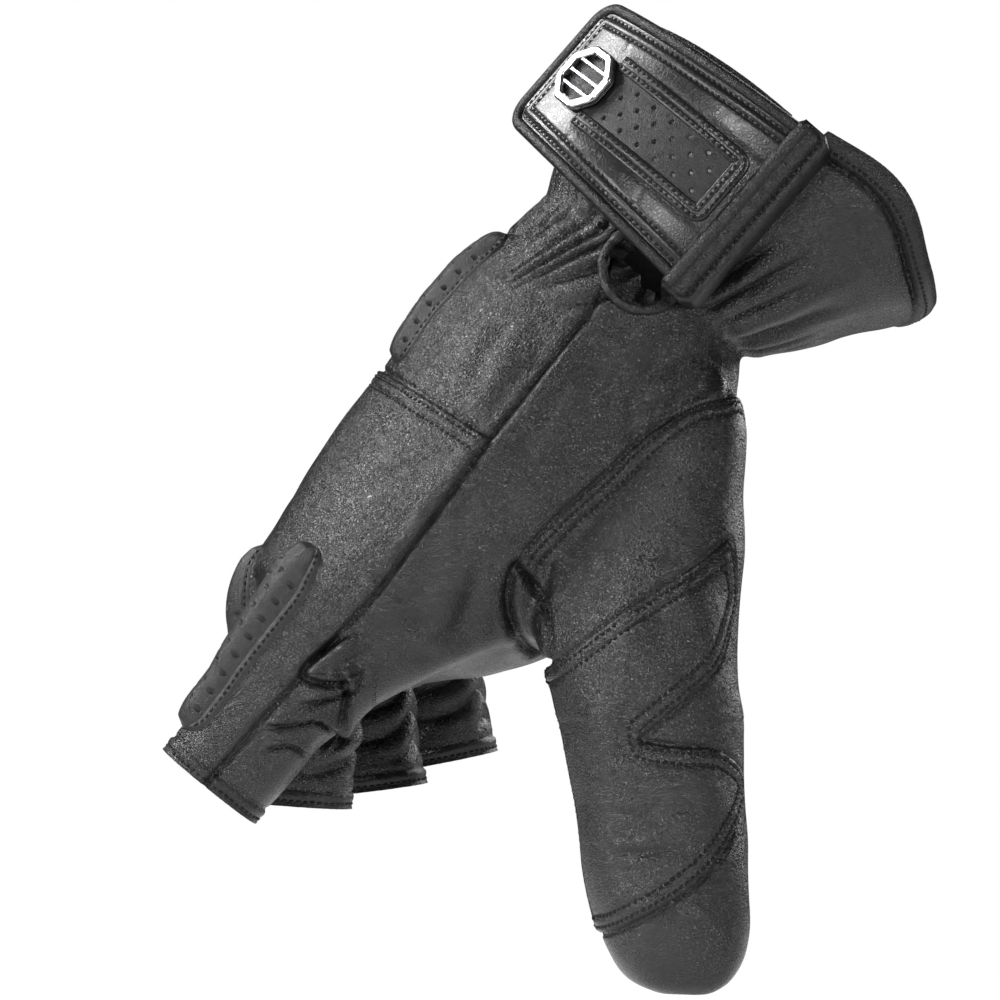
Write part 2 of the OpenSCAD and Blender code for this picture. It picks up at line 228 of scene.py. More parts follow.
def thick_sheet(name, outer, inner, wrap=False):
    """Closed solid between two grids of the same size."""
    rows, cols = outer.shape[:2]
    n = rows * cols
    verts = np.concatenate([outer.reshape(-1, 3), inner.reshape(-1, 3)])
    faces = grid_faces(rows, cols, wrap) + grid_faces(rows, cols, wrap, n, True)
    for a, flip in ((0, False), ((rows - 1) * cols, True)):
        for j in range(cols if wrap else cols - 1):
            k = (j + 1) % cols
            q = [a + k, a + j, n + a + j, n + a + k]
            faces.append(q[::-1] if flip else q)
    if not wrap:
        for b, flip in ((0, True), (cols - 1, False)):
            for i in range(rows - 1):
                q = [i * cols + b, n + i * cols + b, n + (i + 1) * cols + b, (i + 1) * cols + b]
                faces.append(q if flip else q[::-1])
    return new_object(name, verts, faces)


def relax(verts, edges, steps, amount=0.5, keep_size=False):
    """Moves each vertex towards the middle of its neighbours, optionally without shrinking."""
    if verts.ndim == 1:
        return relax(verts[:, None], edges, steps, amount, keep_size)[:, 0]
    n = len(verts)
    a, b = edges[:, 0], edges[:, 1]
    degree = np.bincount(a, minlength=n) + np.bincount(b, minlength=n)
    degree = np.maximum(degree, 1)[:, None]

    def mean_of_neighbours(v):
        return np.stack([np.bincount(a, c[b], n) + np.bincount(b, c[a], n) for c in v.T], 1) / degree

    for _ in range(steps):
        verts = verts + amount * (mean_of_neighbours(verts) - verts)
        if keep_size:
            verts = verts - amount * SWELL * (mean_of_neighbours(verts) - verts)
    return verts


def mesh_arrays(mesh):
    """Vertices in millimetres and edges of a mesh."""
    verts = np.empty(len(mesh.vertices) * 3, np.float32)
    mesh.vertices.foreach_get("co", verts)
    edges = np.empty(len(mesh.edges) * 2, np.int64)
    mesh.edges.foreach_get("vertices", edges)
    return verts.reshape(-1, 3).astype(float) / MM, edges.reshape(-1, 2)


def set_verts(mesh, verts_mm):
    mesh.vertices.foreach_set("co", (verts_mm * MM).astype(np.float32).ravel())
    mesh.update()


# ---------------------------------------------------------------- the skin's plain volume


def cuff_half_up(f):
    """Half the cuff's depth at a part of its height."""
    return 26 + 20 * f**0.85


def cuff_tilt(f):
    return CUFF_TILT - 5 * f


def cuff_rings(angles):
    rings = []
    for reach in np.linspace(1.65, 0.03, 30):
        f = min(reach, 1)
        half_up = cuff_half_up(f) + 4 * (reach - f)
        rings.append(oval(WRIST * (1 - reach), tilted(cuff_tilt(f)), half_up, CUFF_HALF_SIDE, angles))
    return rings


def hand_rings(angles):
    rings = []
    for s in np.linspace(1, 97, 46):
        middle, half_up, half_side = smooth(s, HAND)
        ring = oval(WRIST + s * ALONG + middle * UP, UP, half_up, half_side, angles)
        rings.append(slanted(ring, s))
    for t in np.linspace(0.1, 0.98, 8):
        shrink = math.sqrt(1 - t * t)
        s = 97 + 9 * t
        ring = oval(WRIST + s * ALONG + 4.5 * UP, UP, 23 * shrink, 44.5 * (0.35 + 0.65 * shrink), angles)
        rings.append(slanted(ring, s))
    return rings


def slanted(ring, s):
    """A section past the middle of the hand follows the slant of the knuckles."""
    if s <= 50:
        return ring
    want = 50 + (s - 50) * (far_edge(ring[:, 1]) - 50) / 47
    return ring + (want - s)[:, None] * ALONG


def finger_rings(i, angles):
    rings = []
    for l in np.linspace(-2, FINGER_LENGTHS[i] + 4, 30):
        taper = 1 - 0.05 * max(l, 0) / FINGER_LENGTHS[i]
        middle = KNUCKLES[i] + l * FINGER_DIRS[i]
        rings.append(oval(middle, FINGER_UPS[i], FINGER_DEPTH * taper, FINGER_WIDTH * taper, angles))
    return rings


def funnel_rings(i, angles):
    """Eases the hand into a finger."""
    k, d = KNUCKLES[i], FINGER_DIRS[i]
    drop, reach, wide = (11, 27, 25) if i == 0 else (5, 17, 20)
    start = k - 24 * ALONG - drop * UP - np.array([0, 0.1 * k[1], 0])
    rings = []
    for t in np.linspace(0, 1, 14):
        middle = (1 - t) ** 2 * start + 2 * t * (1 - t) * k + t * t * (k + reach * d)
        up = unit((1 - t) * UP + t * FINGER_UPS[i])
        rings.append(oval(middle, up, wide + (12.7 - wide) * t, 10.9 - 0.6 * t, angles))
    return rings


def ball_rings(middle, axis, up, half_along, half_up, half_side, angles):
    """An egg whose long way lies along axis."""
    rings = []
    for t in np.linspace(-0.98, 0.98, 16):
        shrink = math.sqrt(1 - t * t)
        place = middle + t * half_along * axis
        rings.append(oval(place, up, half_up * shrink, half_side * shrink, angles, 2))
    return rings


def thumb_rings(angles):
    rows = np.column_stack([np.arange(len(THUMB_ROWS)), np.array(THUMB_ROWS, float)])
    rings = []
    for f in np.linspace(0, len(THUMB_ROWS) - 1, 70):
        x, y, z, tilt, half_up, half_side = smooth(f, rows)
        a = math.radians(tilt)
        up = np.array([-math.cos(a), 0, math.sin(a)])
        rings.append(oval(np.array([x, y, z]), up, half_up, half_side, angles, 2.15))
    return rings


def plain_volume():
    """One closed mesh of the whole hand, made of overlapping lofts and then remeshed."""
    angles = full_turn(96)
    lofts = [cuff_rings(angles) + hand_rings(angles), thumb_rings(angles)]
    for i in range(4):
        lofts.append(finger_rings(i, angles))
        lofts.append(ball_rings(KNUCKLES[i], ALONG, UP, 17, 14.2, 10.8, angles))
        lofts.append(funnel_rings(i, angles))
    verts, faces, base = [], [], 0
    for rings in lofts:
        v, f = closed_loft(rings)
        verts.append(v)
        faces += [[k + base for k in q] for q in f]
        base += len(v)
    obj = new_object("skin", np.concatenate(verts), faces)
    remesh = obj.modifiers.new("remesh", "REMESH")
    remesh.mode = "VOXEL"
    remesh.voxel_size = VOXEL * MM
    bpy.context.view_layer.update()
    mesh = bpy.data.meshes.new_from_object(obj.evaluated_get(bpy.context.evaluated_depsgraph_get()))
    bpy.data.objects.remove(obj)
    verts, edges = mesh_arrays(mesh)
    verts = relax(verts, edges, 10, 0.6, keep_size=True)
    verts = relax(verts, edges, 16)
    soft = eased_zone(verts)
    for _ in range(70):
        moved = relax(verts, edges, 1)
        verts = verts + soft[:, None] * (moved - verts)
    set_verts(mesh, verts)
    return mesh


def eased_zone(p):
    """Where the thumb's root runs into the palm and is smoothed most."""
    x, y, z = p.T
    line = np.array(THUMB_SEAM, float)
    off, _, _ = line_distance(np.column_stack([x, z]), line)
    return np.exp(-((off / 9) ** 2)) * (y < -8) * (z > -100)


# ---------------------------------------------------------------- which part of the glove a point is on

CUFF_BACK, CUFF_PALM, BIND_BACK, BIND_PALM, HAND_BACK, KNUCKLE, PALM, GUSSET, THUMB, OVERLAY = range(10)
SLEEVE, HEM, GONE = 10, 14, -1
FINGER_START = [99, 99, 93, 85]
SIDE_SEAM = ([0, 8, 12.7, 48.7, 87.7, 118.9, 142.6], [8, 5.2, 4, 3.3, 1.4, 3.2, 4.2])
CROSS_SEAM = ([4.2, 18.4, 30], [48.5, 50, 51.4])
THUMB_SEAM = [
    (-53, -84.6), (-43.7, -74.1), (-35.3, -66.8), (-26.9, -58.4), (-16.4, -51.5), (-5.3, -48.7), (12, -44),
]
GUSSET_INNER = [(-46.2, -105), (-45.8, -100.4), (-46.2, -94), (-48.9, -88.8)]
THUMB_OUTLINE = THUMB_SEAM + [(12, -200), (-60, -200), (-60, -112)] + GUSSET_INNER
OVERLAY_OUTLINE = [
    (-46, -105.6), (-31.1, -94.5), (-14.3, -83.6), (-8.6, -78.8), (-6.9, -92), (-11.1, -105.6),
    (-19.5, -112.8), (-28.6, -120.3), (-20, -121.6), (-11.1, -121.8), (-5.9, -126.6), (-5.9, -135),
    (-11.1, -144.5), (-18.5, -151), (-26.9, -156), (-36, -160.5), (-60, -166), (-60, -112),
]
GUSSET_OUTLINE = [(-53, -84.6), (-54.6, -89.9), (-54.2, -96.2), (-51, -102.5)] + GUSSET_INNER
VENT = WRIST + np.array([-1.0, -34, 0])
VENT_RADIUS = 8.6
SLIT = 3.0  # half angle of the slit in the cuff
HEM_LENGTH = 3.4
FAR_OFF = 90.0  # distances beyond this mean that no target was looked for


def hand_coords(p):
    """Distance from the wrist, height above the hand's middle line and place across."""
    q = p - WRIST
    return q @ ALONG, q @ UP, p[:, 1]


def cuff_coords(p):
    """How far up the cuff a point is, its angle in degrees round the cuff and its height there."""
    q = p - WRIST
    reach = q @ CUFF_AXIS / CUFF_HEIGHT
    for _ in range(3):
        tilt = np.radians(cuff_tilt(np.clip(reach, 0, 1)))
        height = CUFF_HEIGHT * np.cos(tilt - math.radians(CUFF_SLOPE))
        reach = (q[:, 0] * np.cos(tilt) + q[:, 2] * np.sin(tilt)) / height
    f = np.clip(reach, 0, 1)
    half_up = cuff_half_up(f) + 4 * np.maximum(reach - 1, 0)
    middle = np.multiply.outer(1 - reach, WRIST)
    rise = -(p - middle)[:, 0] * np.sin(tilt) + (p - middle)[:, 2] * np.cos(tilt)
    c = np.sign(rise) * np.abs(rise / half_up) ** (SQUARE / 2)
    s = -np.sign(p[:, 1]) * np.abs(p[:, 1] / CUFF_HALF_SIDE) ** (SQUARE / 2)
    return reach, np.degrees(np.arctan2(s, c)), rise


def cuff_reach(angle):
    """How far up the cuff its edge lies, by angle."""
    a = np.radians(angle)
    bump = np.where((angle > 90), 0.17 * np.exp(-(((angle - 112) / 22) ** 2)), 0)
    return 1 - 0.1 * np.cos(a) + 0.3 * np.sin(a) + bump


def inside(p, outline):
    """Which points are inside an outline, seen from the thumb side."""
    x, z = p[:, 0], p[:, 2]
    outline = rounded(outline)
    found = np.zeros(len(p), bool)
    for (ax, az), (bx, bz) in zip(outline, outline[1:] + outline[:1]):
        if az == bz:
            continue
        crosses = (az > z) != (bz > z)
        found ^= crosses & (x < (bx - ax) * (z - az) / (bz - az) + ax)
    return found


def rounded(outline):
    """An outline with its blunt corners rounded; sharp ones are kept."""
    pts = np.array(outline, float)
    out = []
    for a, b, c in zip(np.roll(pts, 1, axis=0), pts, np.roll(pts, -1, axis=0)):
        before, after = a - b, c - b
        cut = min(4.0, np.hypot(*before) * 0.45, np.hypot(*after) * 0.45)
        bend = unit(before) @ unit(after)
        if bend > 0.1:
            cut *= 0.25
        p, q = b + unit(before) * cut, b + unit(after) * cut
        out += [tuple((1 - t) ** 2 * p + 2 * t * (1 - t) * b + t * t * q) for t in np.linspace(0, 1, 6)]
    return out


def line_distance(p, line):
    """Distance to a line of points, place along it and signed side, all in the line's own plane."""
    best = np.full(len(p), 1e9)
    place, side = np.zeros(len(p)), np.zeros(len(p))
    walked = 0.0
    for a, b in zip(line, line[1:]):
        d = b - a
        long = np.hypot(*d)
        t = np.clip((p - a) @ d / long**2, 0, 1)
        off = p - a - t[:, None] * d
        dist = np.hypot(*off.T)
        closer = dist < best
        best = np.where(closer, dist, best)
        place = np.where(closer, walked + t * long, place)
        turn = d[0] * (p - a)[:, 1] - d[1] * (p - a)[:, 0]
        side = np.where(closer, np.sign(turn) * dist, side)
        walked += long
    return best, place / walked, side


def thumb_middle(z):
    t = np.array(THUMB_ROWS, float)[::-1]
    return np.interp(z, t[:, 2], t[:, 1])


def parts_at(p):
    """Number of the part each point belongs to."""
    s, h, y = hand_coords(p)
    reach, angle, _ = cuff_coords(p)
    part = np.full(len(p), PALM)
    back = h > np.interp(s, *SIDE_SEAM)
    part[back] = HAND_BACK
    part[back & (s > np.interp(h, *CROSS_SEAM))] = KNUCKLE
    near = y < -13 - 20 * np.clip((p[:, 2] + 80) / 34, 0, 1.4) ** 2
    thumb = ~back & inside(p, THUMB_OUTLINE) & near
    part[thumb] = THUMB
    part[thumb & inside(p, OVERLAY_OUTLINE) & (y < thumb_middle(p[:, 2]) + 2)] = OVERLAY
    part[inside(p, GUSSET_OUTLINE) & (y < -22) & ~back] = GUSSET
    for i in range(4):
        lo = -99 if i == 0 else (KNUCKLES[i - 1][1] + KNUCKLES[i][1]) / 2
        hi = 99 if i == 3 else (KNUCKLES[i + 1][1] + KNUCKLES[i][1]) / 2
        sleeve = (y > lo) & (y <= hi) & (s > FINGER_START[i]) & (h > -50) & ~thumb
        down = (p - KNUCKLES[i]) @ FINGER_DIRS[i]
        part[sleeve] = SLEEVE + i
        part[sleeve & (down > FINGER_LENGTHS[i] - HEM_LENGTH)] = HEM + i
        part[sleeve & (down > FINGER_LENGTHS[i])] = GONE
    cuff = reach > 0.015
    rim = cuff_reach(angle)
    part[cuff] = np.where(np.abs(angle) < 90, CUFF_BACK, CUFF_PALM)[cuff]
    bound = cuff & (reach > 0.89 * rim)
    part[bound] = np.where(np.abs(angle) < 90, BIND_BACK, BIND_PALM)[bound]
    part[cuff & (reach > rim)] = GONE
    part[cuff & (np.abs(angle - 90) < SLIT)] = GONE
    off = np.hypot(p[:, 0] - VENT[0], p[:, 2] - VENT[2])
    part[(off < VENT_RADIUS - 0.4) & (y < 0)] = GONE
    return part


# ---------------------------------------------------------------- the skin in parts


def quads_of(mesh):
    """Corners of a remeshed surface's faces, which all have four."""
    corners = np.empty(len(mesh.loops), np.int64)
    mesh.loops.foreach_get("vertex_index", corners)
    return corners.reshape(-1, 4)


def edges_of(quads):
    """Each edge's two vertices and the face it bounds, one row per corner."""
    a, b = quads, np.roll(quads, -1, axis=1)
    face = np.repeat(np.arange(len(quads)), 4)
    return a.ravel(), b.ravel(), face


def vertex_normals(verts, quads):
    p = verts[quads]
    n = np.cross(p[:, 2] - p[:, 0], p[:, 3] - p[:, 1])
    out = np.zeros_like(verts)
    for k in range(3):
        out[:, k] = sum(np.bincount(quads[:, c], n[:, k], len(verts)) for c in range(4))
    return unit(out + 1e-12)


def snap_borders(verts, quads, part):
    """Moves vertices between two parts onto the exact border, except where leather runs on unsewn."""
    n = len(verts)
    lowest, highest = np.full(n, 99), np.full(n, -99)
    for c in range(4):
        np.minimum.at(lowest, quads[:, c], part)
        np.maximum.at(highest, quads[:, c], part)
    seamless = np.isin(lowest, (HAND_BACK, KNUCKLE, PALM)) & (highest >= SLEEVE) & (highest < SLEEVE + 4)
    ends = np.flatnonzero((lowest < highest) & ~seamless)
    centre = verts[quads].mean(1)
    sums = np.zeros((2, n, 3))
    count = np.zeros((2, n))
    for c in range(4):
        v = quads[:, c]
        for side, edge_part in enumerate((lowest, highest)):
            on = part == edge_part[v]
            for k in range(3):
                sums[side, :, k] += np.bincount(v[on], centre[on, k], n)
            count[side] += np.bincount(v[on], minlength=n)
    two = count[0, ends] + count[1, ends] >= np.bincount(quads.ravel(), minlength=n)[ends]
    ends = ends[two]
    a = sums[0, ends] / count[0, ends, None]
    b = sums[1, ends] / count[1, ends, None]
    way = unit(b - a)
    start = verts[ends]
    best = np.zeros(len(ends))
    found = np.zeros(len(ends), bool)
    steps = np.linspace(-0.6, 0.6, 25) * VOXEL / 0.6
    before = parts_at(start + steps[0] * way)
    for t0, t1 in zip(steps, steps[1:]):
        now = parts_at(start + t1 * way)
        hit = (before != now) & (~found | (abs(t0 + t1) / 2 < np.abs(best)))
        best[hit] = (t0 + t1) / 2
        found |= hit
        before = now
    moved = verts.copy()
    moved[ends] = start + best[:, None] * way
    return moved, lowest, highest


def fast_mesh(name, verts_mm, quads, materials=(), index=None, normals=None):
    """Object from arrays; normals are one per corner."""
    mesh = bpy.data.meshes.new(name)
    mesh.vertices.add(len(verts_mm))
    mesh.vertices.foreach_set("co", (np.asarray(verts_mm) * MM).astype(np.float32).ravel())
    sides = quads.shape[1]
    mesh.loops.add(quads.size)
    mesh.loops.foreach_set("vertex_index", quads.ravel().astype(np.int32))
    mesh.polygons.add(len(quads))
    mesh.polygons.foreach_set("loop_start", np.arange(0, quads.size, sides, dtype=np.int32))
    mesh.polygons.foreach_set("use_smooth", np.ones(len(quads), bool))
    for m in materials:
        mesh.materials.append(m)
    if index is not None:
        mesh.polygons.foreach_set("material_index", index.astype(np.int32))
    mesh.update(calc_edges=True)
    if normals is not None:
        layer = mesh.attributes.new("custom_normal", "FLOAT_VECTOR", "CORNER")
        layer.data.foreach_set("vector", normals.astype(np.float32).ravel())
    return placed(name, mesh)


def nearest(points, targets, reach):
    """Distance to the nearest target, for the points within reach of the targets' box."""
    distance = np.full(len(points), 1.1 * FAR_OFF)
    lo, hi = targets.min(0) - reach, targets.max(0) + reach
    close = np.flatnonzero(((points > lo) & (points < hi)).all(1))
    tree = KDTree(len(targets))
    for i, t in enumerate(targets.tolist()):
        tree.insert(t, i)
    tree.balance()
    for i, p in zip(close.tolist(), points[close].tolist()):
        distance[i] = tree.find(p)[2]
    return distance


# ---------------------------------------------------------------- relief of seams, folds and gathers


def bell(d, width):
    return np.exp(-((d / width) ** 2))


def ease(x, a, b):
    t = np.clip((x - a) / (b - a), 0, 1)
    return t * t * (3 - 2 * t)


def lap(d, height, reach, rows):
    """Relief of a folded edge sewn down: d is positive on the upper side, rows are the stitch rows."""
    up = height * ease(d, 0.0, 0.6) * np.exp(-np.maximum(d, 0) / reach)
    low = -0.9 * height * bell(d + 0.35, 0.5)
    sewn = sum(-0.38 * bell(d - r, 0.55) for r in rows)
    return np.where(d > -6, up + low + sewn, 0)


def seam_relief(p, normals, part, lowest, highest, edges):
    s, h, y = hand_coords(p)
    reach, angle, _ = cuff_coords(p)
    lift = np.zeros(len(p))
    side = h - np.interp(s, *SIDE_SEAM)
    hand = (reach < 0.01) & (s < 147) & (np.abs(y) > 27) & (h > -30)
    faces_out = ease(np.abs(normals[:, 1]), 0.3, 0.6)
    groove = -1.3 * bell(side, 0.5) + 0.2 * bell(np.abs(side) - 2.2, 1.4)
    lift += np.where(hand & (s < 100) | hand & (y < -27), groove * faces_out, 0) * ease(s, 6, 14)
    back = (h > np.interp(s, *SIDE_SEAM)) & (reach < 0)
    cross = s - np.interp(h, *CROSS_SEAM)
    lift += np.where(back, lap(cross, 0.75, 9, CROSS_ROWS), 0)
    for pairs, upper, height, far, rows in (
        ([(THUMB, PALM), (OVERLAY, PALM)], (THUMB, OVERLAY), 0.8, 8, THUMB_SEAM_ROWS),
        ([(THUMB, OVERLAY)], (OVERLAY,), 0.85, 30, OVERLAY_ROWS),
    ):
        ends = border_mask(lowest, highest, pairs)
        d = nearest(p, p[ends], 12)
        close = d < FAR_OFF
        sign = np.where(ends, 0, np.where(np.isin(part, upper), 1, -1))
        d = np.where(close, relax(np.minimum(d, 14) * sign, edges, 3), d)
        lift += np.where(close, lap(d, height, far, rows), np.isin(part, upper) * 0.5 * (far > 20))
    ends = border_mask(lowest, highest, [(PALM, GUSSET), (GUSSET, THUMB), (GUSSET, OVERLAY)])
    d = nearest(p, p[ends], 8)
    lift += -1.5 * bell(d, 0.9) + np.where(part == GUSSET, 0.9 * ease(d, 0.4, 2.2), 0.5 * bell(d - 2.2, 1.4))
    for i in range(4):
        down = FINGER_LENGTHS[i] - (p - KNUCKLES[i]) @ FINGER_DIRS[i]
        on = np.isin(part, (SLEEVE + i, HEM + i))
        lift += np.where(on, lap(HEM_LENGTH - down, 0.35, 30, HEM_ROWS), 0)
    rim = cuff_reach(angle)
    inset = (0.89 * rim - reach) * CUFF_HEIGHT
    lift += np.where(reach > 0, lap(-inset, 1.0, 60, RIM_ROWS) - 0.5 * bell(inset - 0.2, 0.8), 0)
    lift -= 0.5 * ease(reach, 0.965 * rim, 1.0 * rim) * (reach > 0)
    return lift


def border_mask(lowest, highest, pairs):
    on = np.zeros(len(lowest), bool)
    for a, b in pairs:
        on |= (lowest == min(a, b)) & (highest == max(a, b))
    return on


def pleats(phase, sharp=0.7):
    return np.abs(np.sin(np.pi * phase)) ** sharp - 0.68


def chance(k, salt):
    """A fixed odd number between 0 and 1 for each whole number."""
    return np.mod(np.sin(k * 12.9898 + salt * 78.233) * 43758.5453, 1)


def gather_relief(p):
    """Pleats of the elastic wrist and the folds of the flared cuff."""
    s = hand_coords(p)[0]
    reach, angle, _ = cuff_coords(p)
    a = np.where(angle > 0, angle - 0.95 * np.clip(s, 0, 26) * -ease(angle, 25, 75), angle)
    phase = a / 10.5 + 0.25 * np.sin(a * 0.17 + 1)
    run = 9 + 17 * chance(np.floor(phase), 1)
    size = 0.75 + 0.6 * chance(np.floor(phase), 2)
    fade = np.where(s > 0, 1 - ease(s / run, 0.25, 1.25), 1 - ease(reach, 0.1, 0.75))
    dorsal = 1 - ease(np.abs(angle), 84, 96)
    lift = np.where(s > 0, 2.5, 1.5) * pleats(phase, 0.7) * size * fade * dorsal
    band = 12 - 14 * ease(np.abs(angle), 10, 62)
    lift -= 0.8 * bell(s - band, 1.2) * dorsal * (s > -6)
    lift += 0.6 * bell(s - band - 3.2, 2.2) * dorsal * pleats(phase + 0.5)
    turn = np.abs(angle)
    palmar = ease(turn, 93, 100)
    fan = (turn - 96) / 13 + 0.25 * np.sin(turn * 0.11)
    far = np.interp(turn, [96, 108, 125, 150, 180], [0.95, 1.2, 1.0, 0.7, 0.6])
    far = far * (0.75 + 0.35 * chance(np.floor(fan), 5))
    flare = ease(reach, -0.02, 0.12) * (1 - ease(reach / far, 0.35, 1.0))
    lift += 3.5 * pleats(fan + 0.5 * reach, 0.8) * flare * palmar
    crush = pleats(turn / 9 + 0.1 * np.sin(s), 0.8) * bell(s - 1, 4.5) * palmar * (np.abs(reach) < 0.4)
    return lift + 0.6 * crush


def fold(p, normals, line, kind, size, width):
    """Relief of one crease, ridge or pleat drawn on the thumb side as a line of (x, z) points."""
    xs = smooth_line(line)
    flat = np.column_stack([p[:, 0], p[:, 2]])
    lift = np.zeros(len(p))
    reach = 4 * width
    near = (flat > xs.min(0) - reach).all(1) & (flat < xs.max(0) + reach).all(1)
    near &= (p[:, 1] < -8.0) & (normals[:, 1] < 0.35)
    d, t, side = line_distance(flat[near], xs)
    taper = ease(t, 0, 0.25) * (1 - ease(t, 0.7, 1))
    if kind == "pleat":
        shape = np.where(side > 0, np.exp(-side / (2.2 * width)), 0) * ease(side, 0, 0.5)
        shape = shape - 0.6 * bell(side + 0.3, 0.6)
    elif kind == "ridge":
        shape = bell(d, width) - 0.35 * bell(d - 1.9 * width, 0.8 * width)
    else:
        shape = -bell(d, width) + 0.35 * bell(d - 1.8 * width, width)
    lift[near] = size * shape * taper * ease(-normals[near, 1], -0.1, 0.45)
    return lift


def smooth_line(points, step=1.0):
    """Points about a step apart on a smooth line through the given ones."""
    pts = np.array(points, float)
    at = walked_along(pts)
    want = np.linspace(0, at[-1], max(3, int(at[-1] / step)))
    return smooth(want, np.column_stack([at, pts]))


def walked_along(line):
    """Length walked along a line to each of its points."""
    return np.concatenate([[0], np.cumsum(np.linalg.norm(np.diff(line, axis=0), axis=1))])


def rows_at(want, at, rows):
    """Rows of three values worked out between the places they are given at."""
    return np.column_stack([np.interp(want, at, rows[:, k]) for k in range(3)])


def undulation(p, waves, shortest, longest, seed):
    rng = np.random.default_rng(seed)
    total = np.zeros(len(p))
    for _ in range(waves):
        way = unit(rng.normal(size=3))
        total += np.sin(2 * math.pi * (p @ way) / rng.uniform(shortest, longest) + rng.uniform(0, 6.3))
    return total / math.sqrt(waves)


FOLDS = [
    # knuckle and side of the hand
    ([(-50, -50), (-56, -57.5), (-63, -63), (-71, -70), (-78, -76)], "ridge", 0.5, 3.0),
    ([(-71, -70), (-69.5, -77), (-73, -84)], "crease", 0.35, 1.6),
    ([(-60, -82), (-62.5, -92), (-67, -101)], "crease", 0.5, 1.8),
    ([(-57, -84), (-58, -94), (-61.5, -104)], "ridge", 0.6, 2.2),
    ([(-67.5, -84), (-69, -95), (-72, -104)], "ridge", 0.45, 2.4),
    # palm under the vent and towards the thumb seam
    ([(-14, -41), (-19, -46), (-26, -50)], "ridge", 0.9, 2.6),
    ([(-12, -47), (-16, -50), (-22, -53)], "crease", 0.35, 1.6),
    ([(-27, -57), (-35, -64), (-43, -71)], "ridge", 0.5, 2.2),
    ([(-37, -37), (-44, -47), (-50, -60)], "crease", 0.45, 1.8),
    ([(-44, -38), (-53, -46), (-60, -58)], "crease", 0.4, 1.8),
    ([(-22, -40), (-28, -50), (-30, -60)], "crease", 0.5, 1.7),
    ([(-10, -38), (-8, -46), (-9, -52)], "crease", 0.6, 1.4),
    ([(-84, -84), (-78, -90), (-70, -93)], "crease", 0.5, 1.4),
    ([(-82, -92), (-75, -99), (-66, -101)], "ridge", 0.5, 1.8),
    # back of the hand below the wrist
    ([(-52, -30), (-60, -42), (-64, -52)], "crease", 0.45, 1.8),
    ([(-62, -26), (-70, -36), (-75, -46)], "crease", 0.4, 2.0),
    ([(-74, -62), (-82, -68), (-92, -72)], "crease", 0.3, 1.6),
    # thumb
    ([(-42, -78), (-44.5, -88), (-43, -97)], "ridge", 0.7, 2.4),
    ([(-45.5, -80), (-46.2, -88), (-45, -94)], "crease", 0.6, 1.2),
    ([(-34, -80), (-38, -90), (-39, -97)], "ridge", 0.5, 2.2),
    ([(-38, -107), (-34.5, -118), (-33, -130), (-31, -141)], "ridge", 0.9, 3.4),
    ([(-31, -122), (-26, -128), (-21, -140)], "ridge", 0.5, 3.4),
    ([(-19, -87), (-16, -97), (-19, -107)], "ridge", 0.8, 4.2),
    ([(-20, -124), (-16, -132), (-21, -142)], "ridge", 0.9, 4.2),
    ([(-30, -149), (-27, -156), (-25, -163)], "ridge", 0.6, 4.0),
    ([(-34, -143.5), (-26, -143), (-20, -141.5)], "crease", 0.6, 0.9),
    ([(-36, -134), (-29, -135), (-22, -133)], "crease", 0.35, 0.9),
    ([(-13, -147), (-15, -153), (-16, -158)], "ridge", 0.5, 2.6),
    ([(-7, -110), (-6, -116), (-5.5, -121)], "ridge", 0.4, 2.0),
    # lower rolled edge of the palm
    ([(-72, -109), (-65, -109.3), (-57, -108.4), (-51, -106.6), (-46, -104.4)], "crease", 1.0, 0.8),
    # pleats on the index finger's palm side
    ([(-84, -97), (-91, -101.5), (-97, -107), (-89, -108.6), (-84.5, -107)], "pleat", 2.4, 1.8),
    ([(-99, -113.5), (-92, -112), (-87, -110), (-84, -105)], "pleat", 2.3, 1.7),
    ([(-107, -118), (-100, -117.5), (-93.5, -117), (-90, -121), (-93.5, -126)], "pleat", 2.3, 1.8),
    ([(-90, -104), (-88, -111), (-90, -119), (-95, -125)], "pleat", 2.2, 1.5),
    ([(-106, -123), (-99, -122), (-95, -125.5)], "pleat", 1.8, 1.3),
]


def crumple(p, part):
    """Zigzag pleats on the palm side of the three back fingers."""
    lift = np.zeros(len(p))
    for i in (1, 2, 3):
        m = part == SLEEVE + i
        q = p[m] - KNUCKLES[i]
        l, u, v = q @ FINGER_DIRS[i], q @ FINGER_UPS[i], q[:, 1]
        zigzag = 2 * np.abs(((v + 1.5 * i) / 9) % 2 - 1)
        palmar = ease(-u, -6, 4) * ease(l, 4, 12) * ease(FINGER_LENGTHS[i] - l, 4.5, 9)
        lift[m] = 1.5 * pleats(l / 6.5 + 0.55 * zigzag, 0.85) * palmar - 0.5 * palmar
    return lift


def fold_relief(p, normals, part):
    lift = crumple(p, part)
    for line, kind, size, width in FOLDS:
        lift += fold(p, normals, line, kind, size, width)
    return lift


def relief(p, normals, part, lowest, highest, edges):
    lift = seam_relief(p, normals, part, lowest, highest, edges)
    lift += gather_relief(p)
    lift += fold_relief(p, normals, part)
    lift += 0.3 * undulation(p, 24, 14, 38, 3) + 0.085 * undulation(p, 30, 7, 14, 4)
    return lift


# ---------------------------------------------------------------- the skin as separate pieces


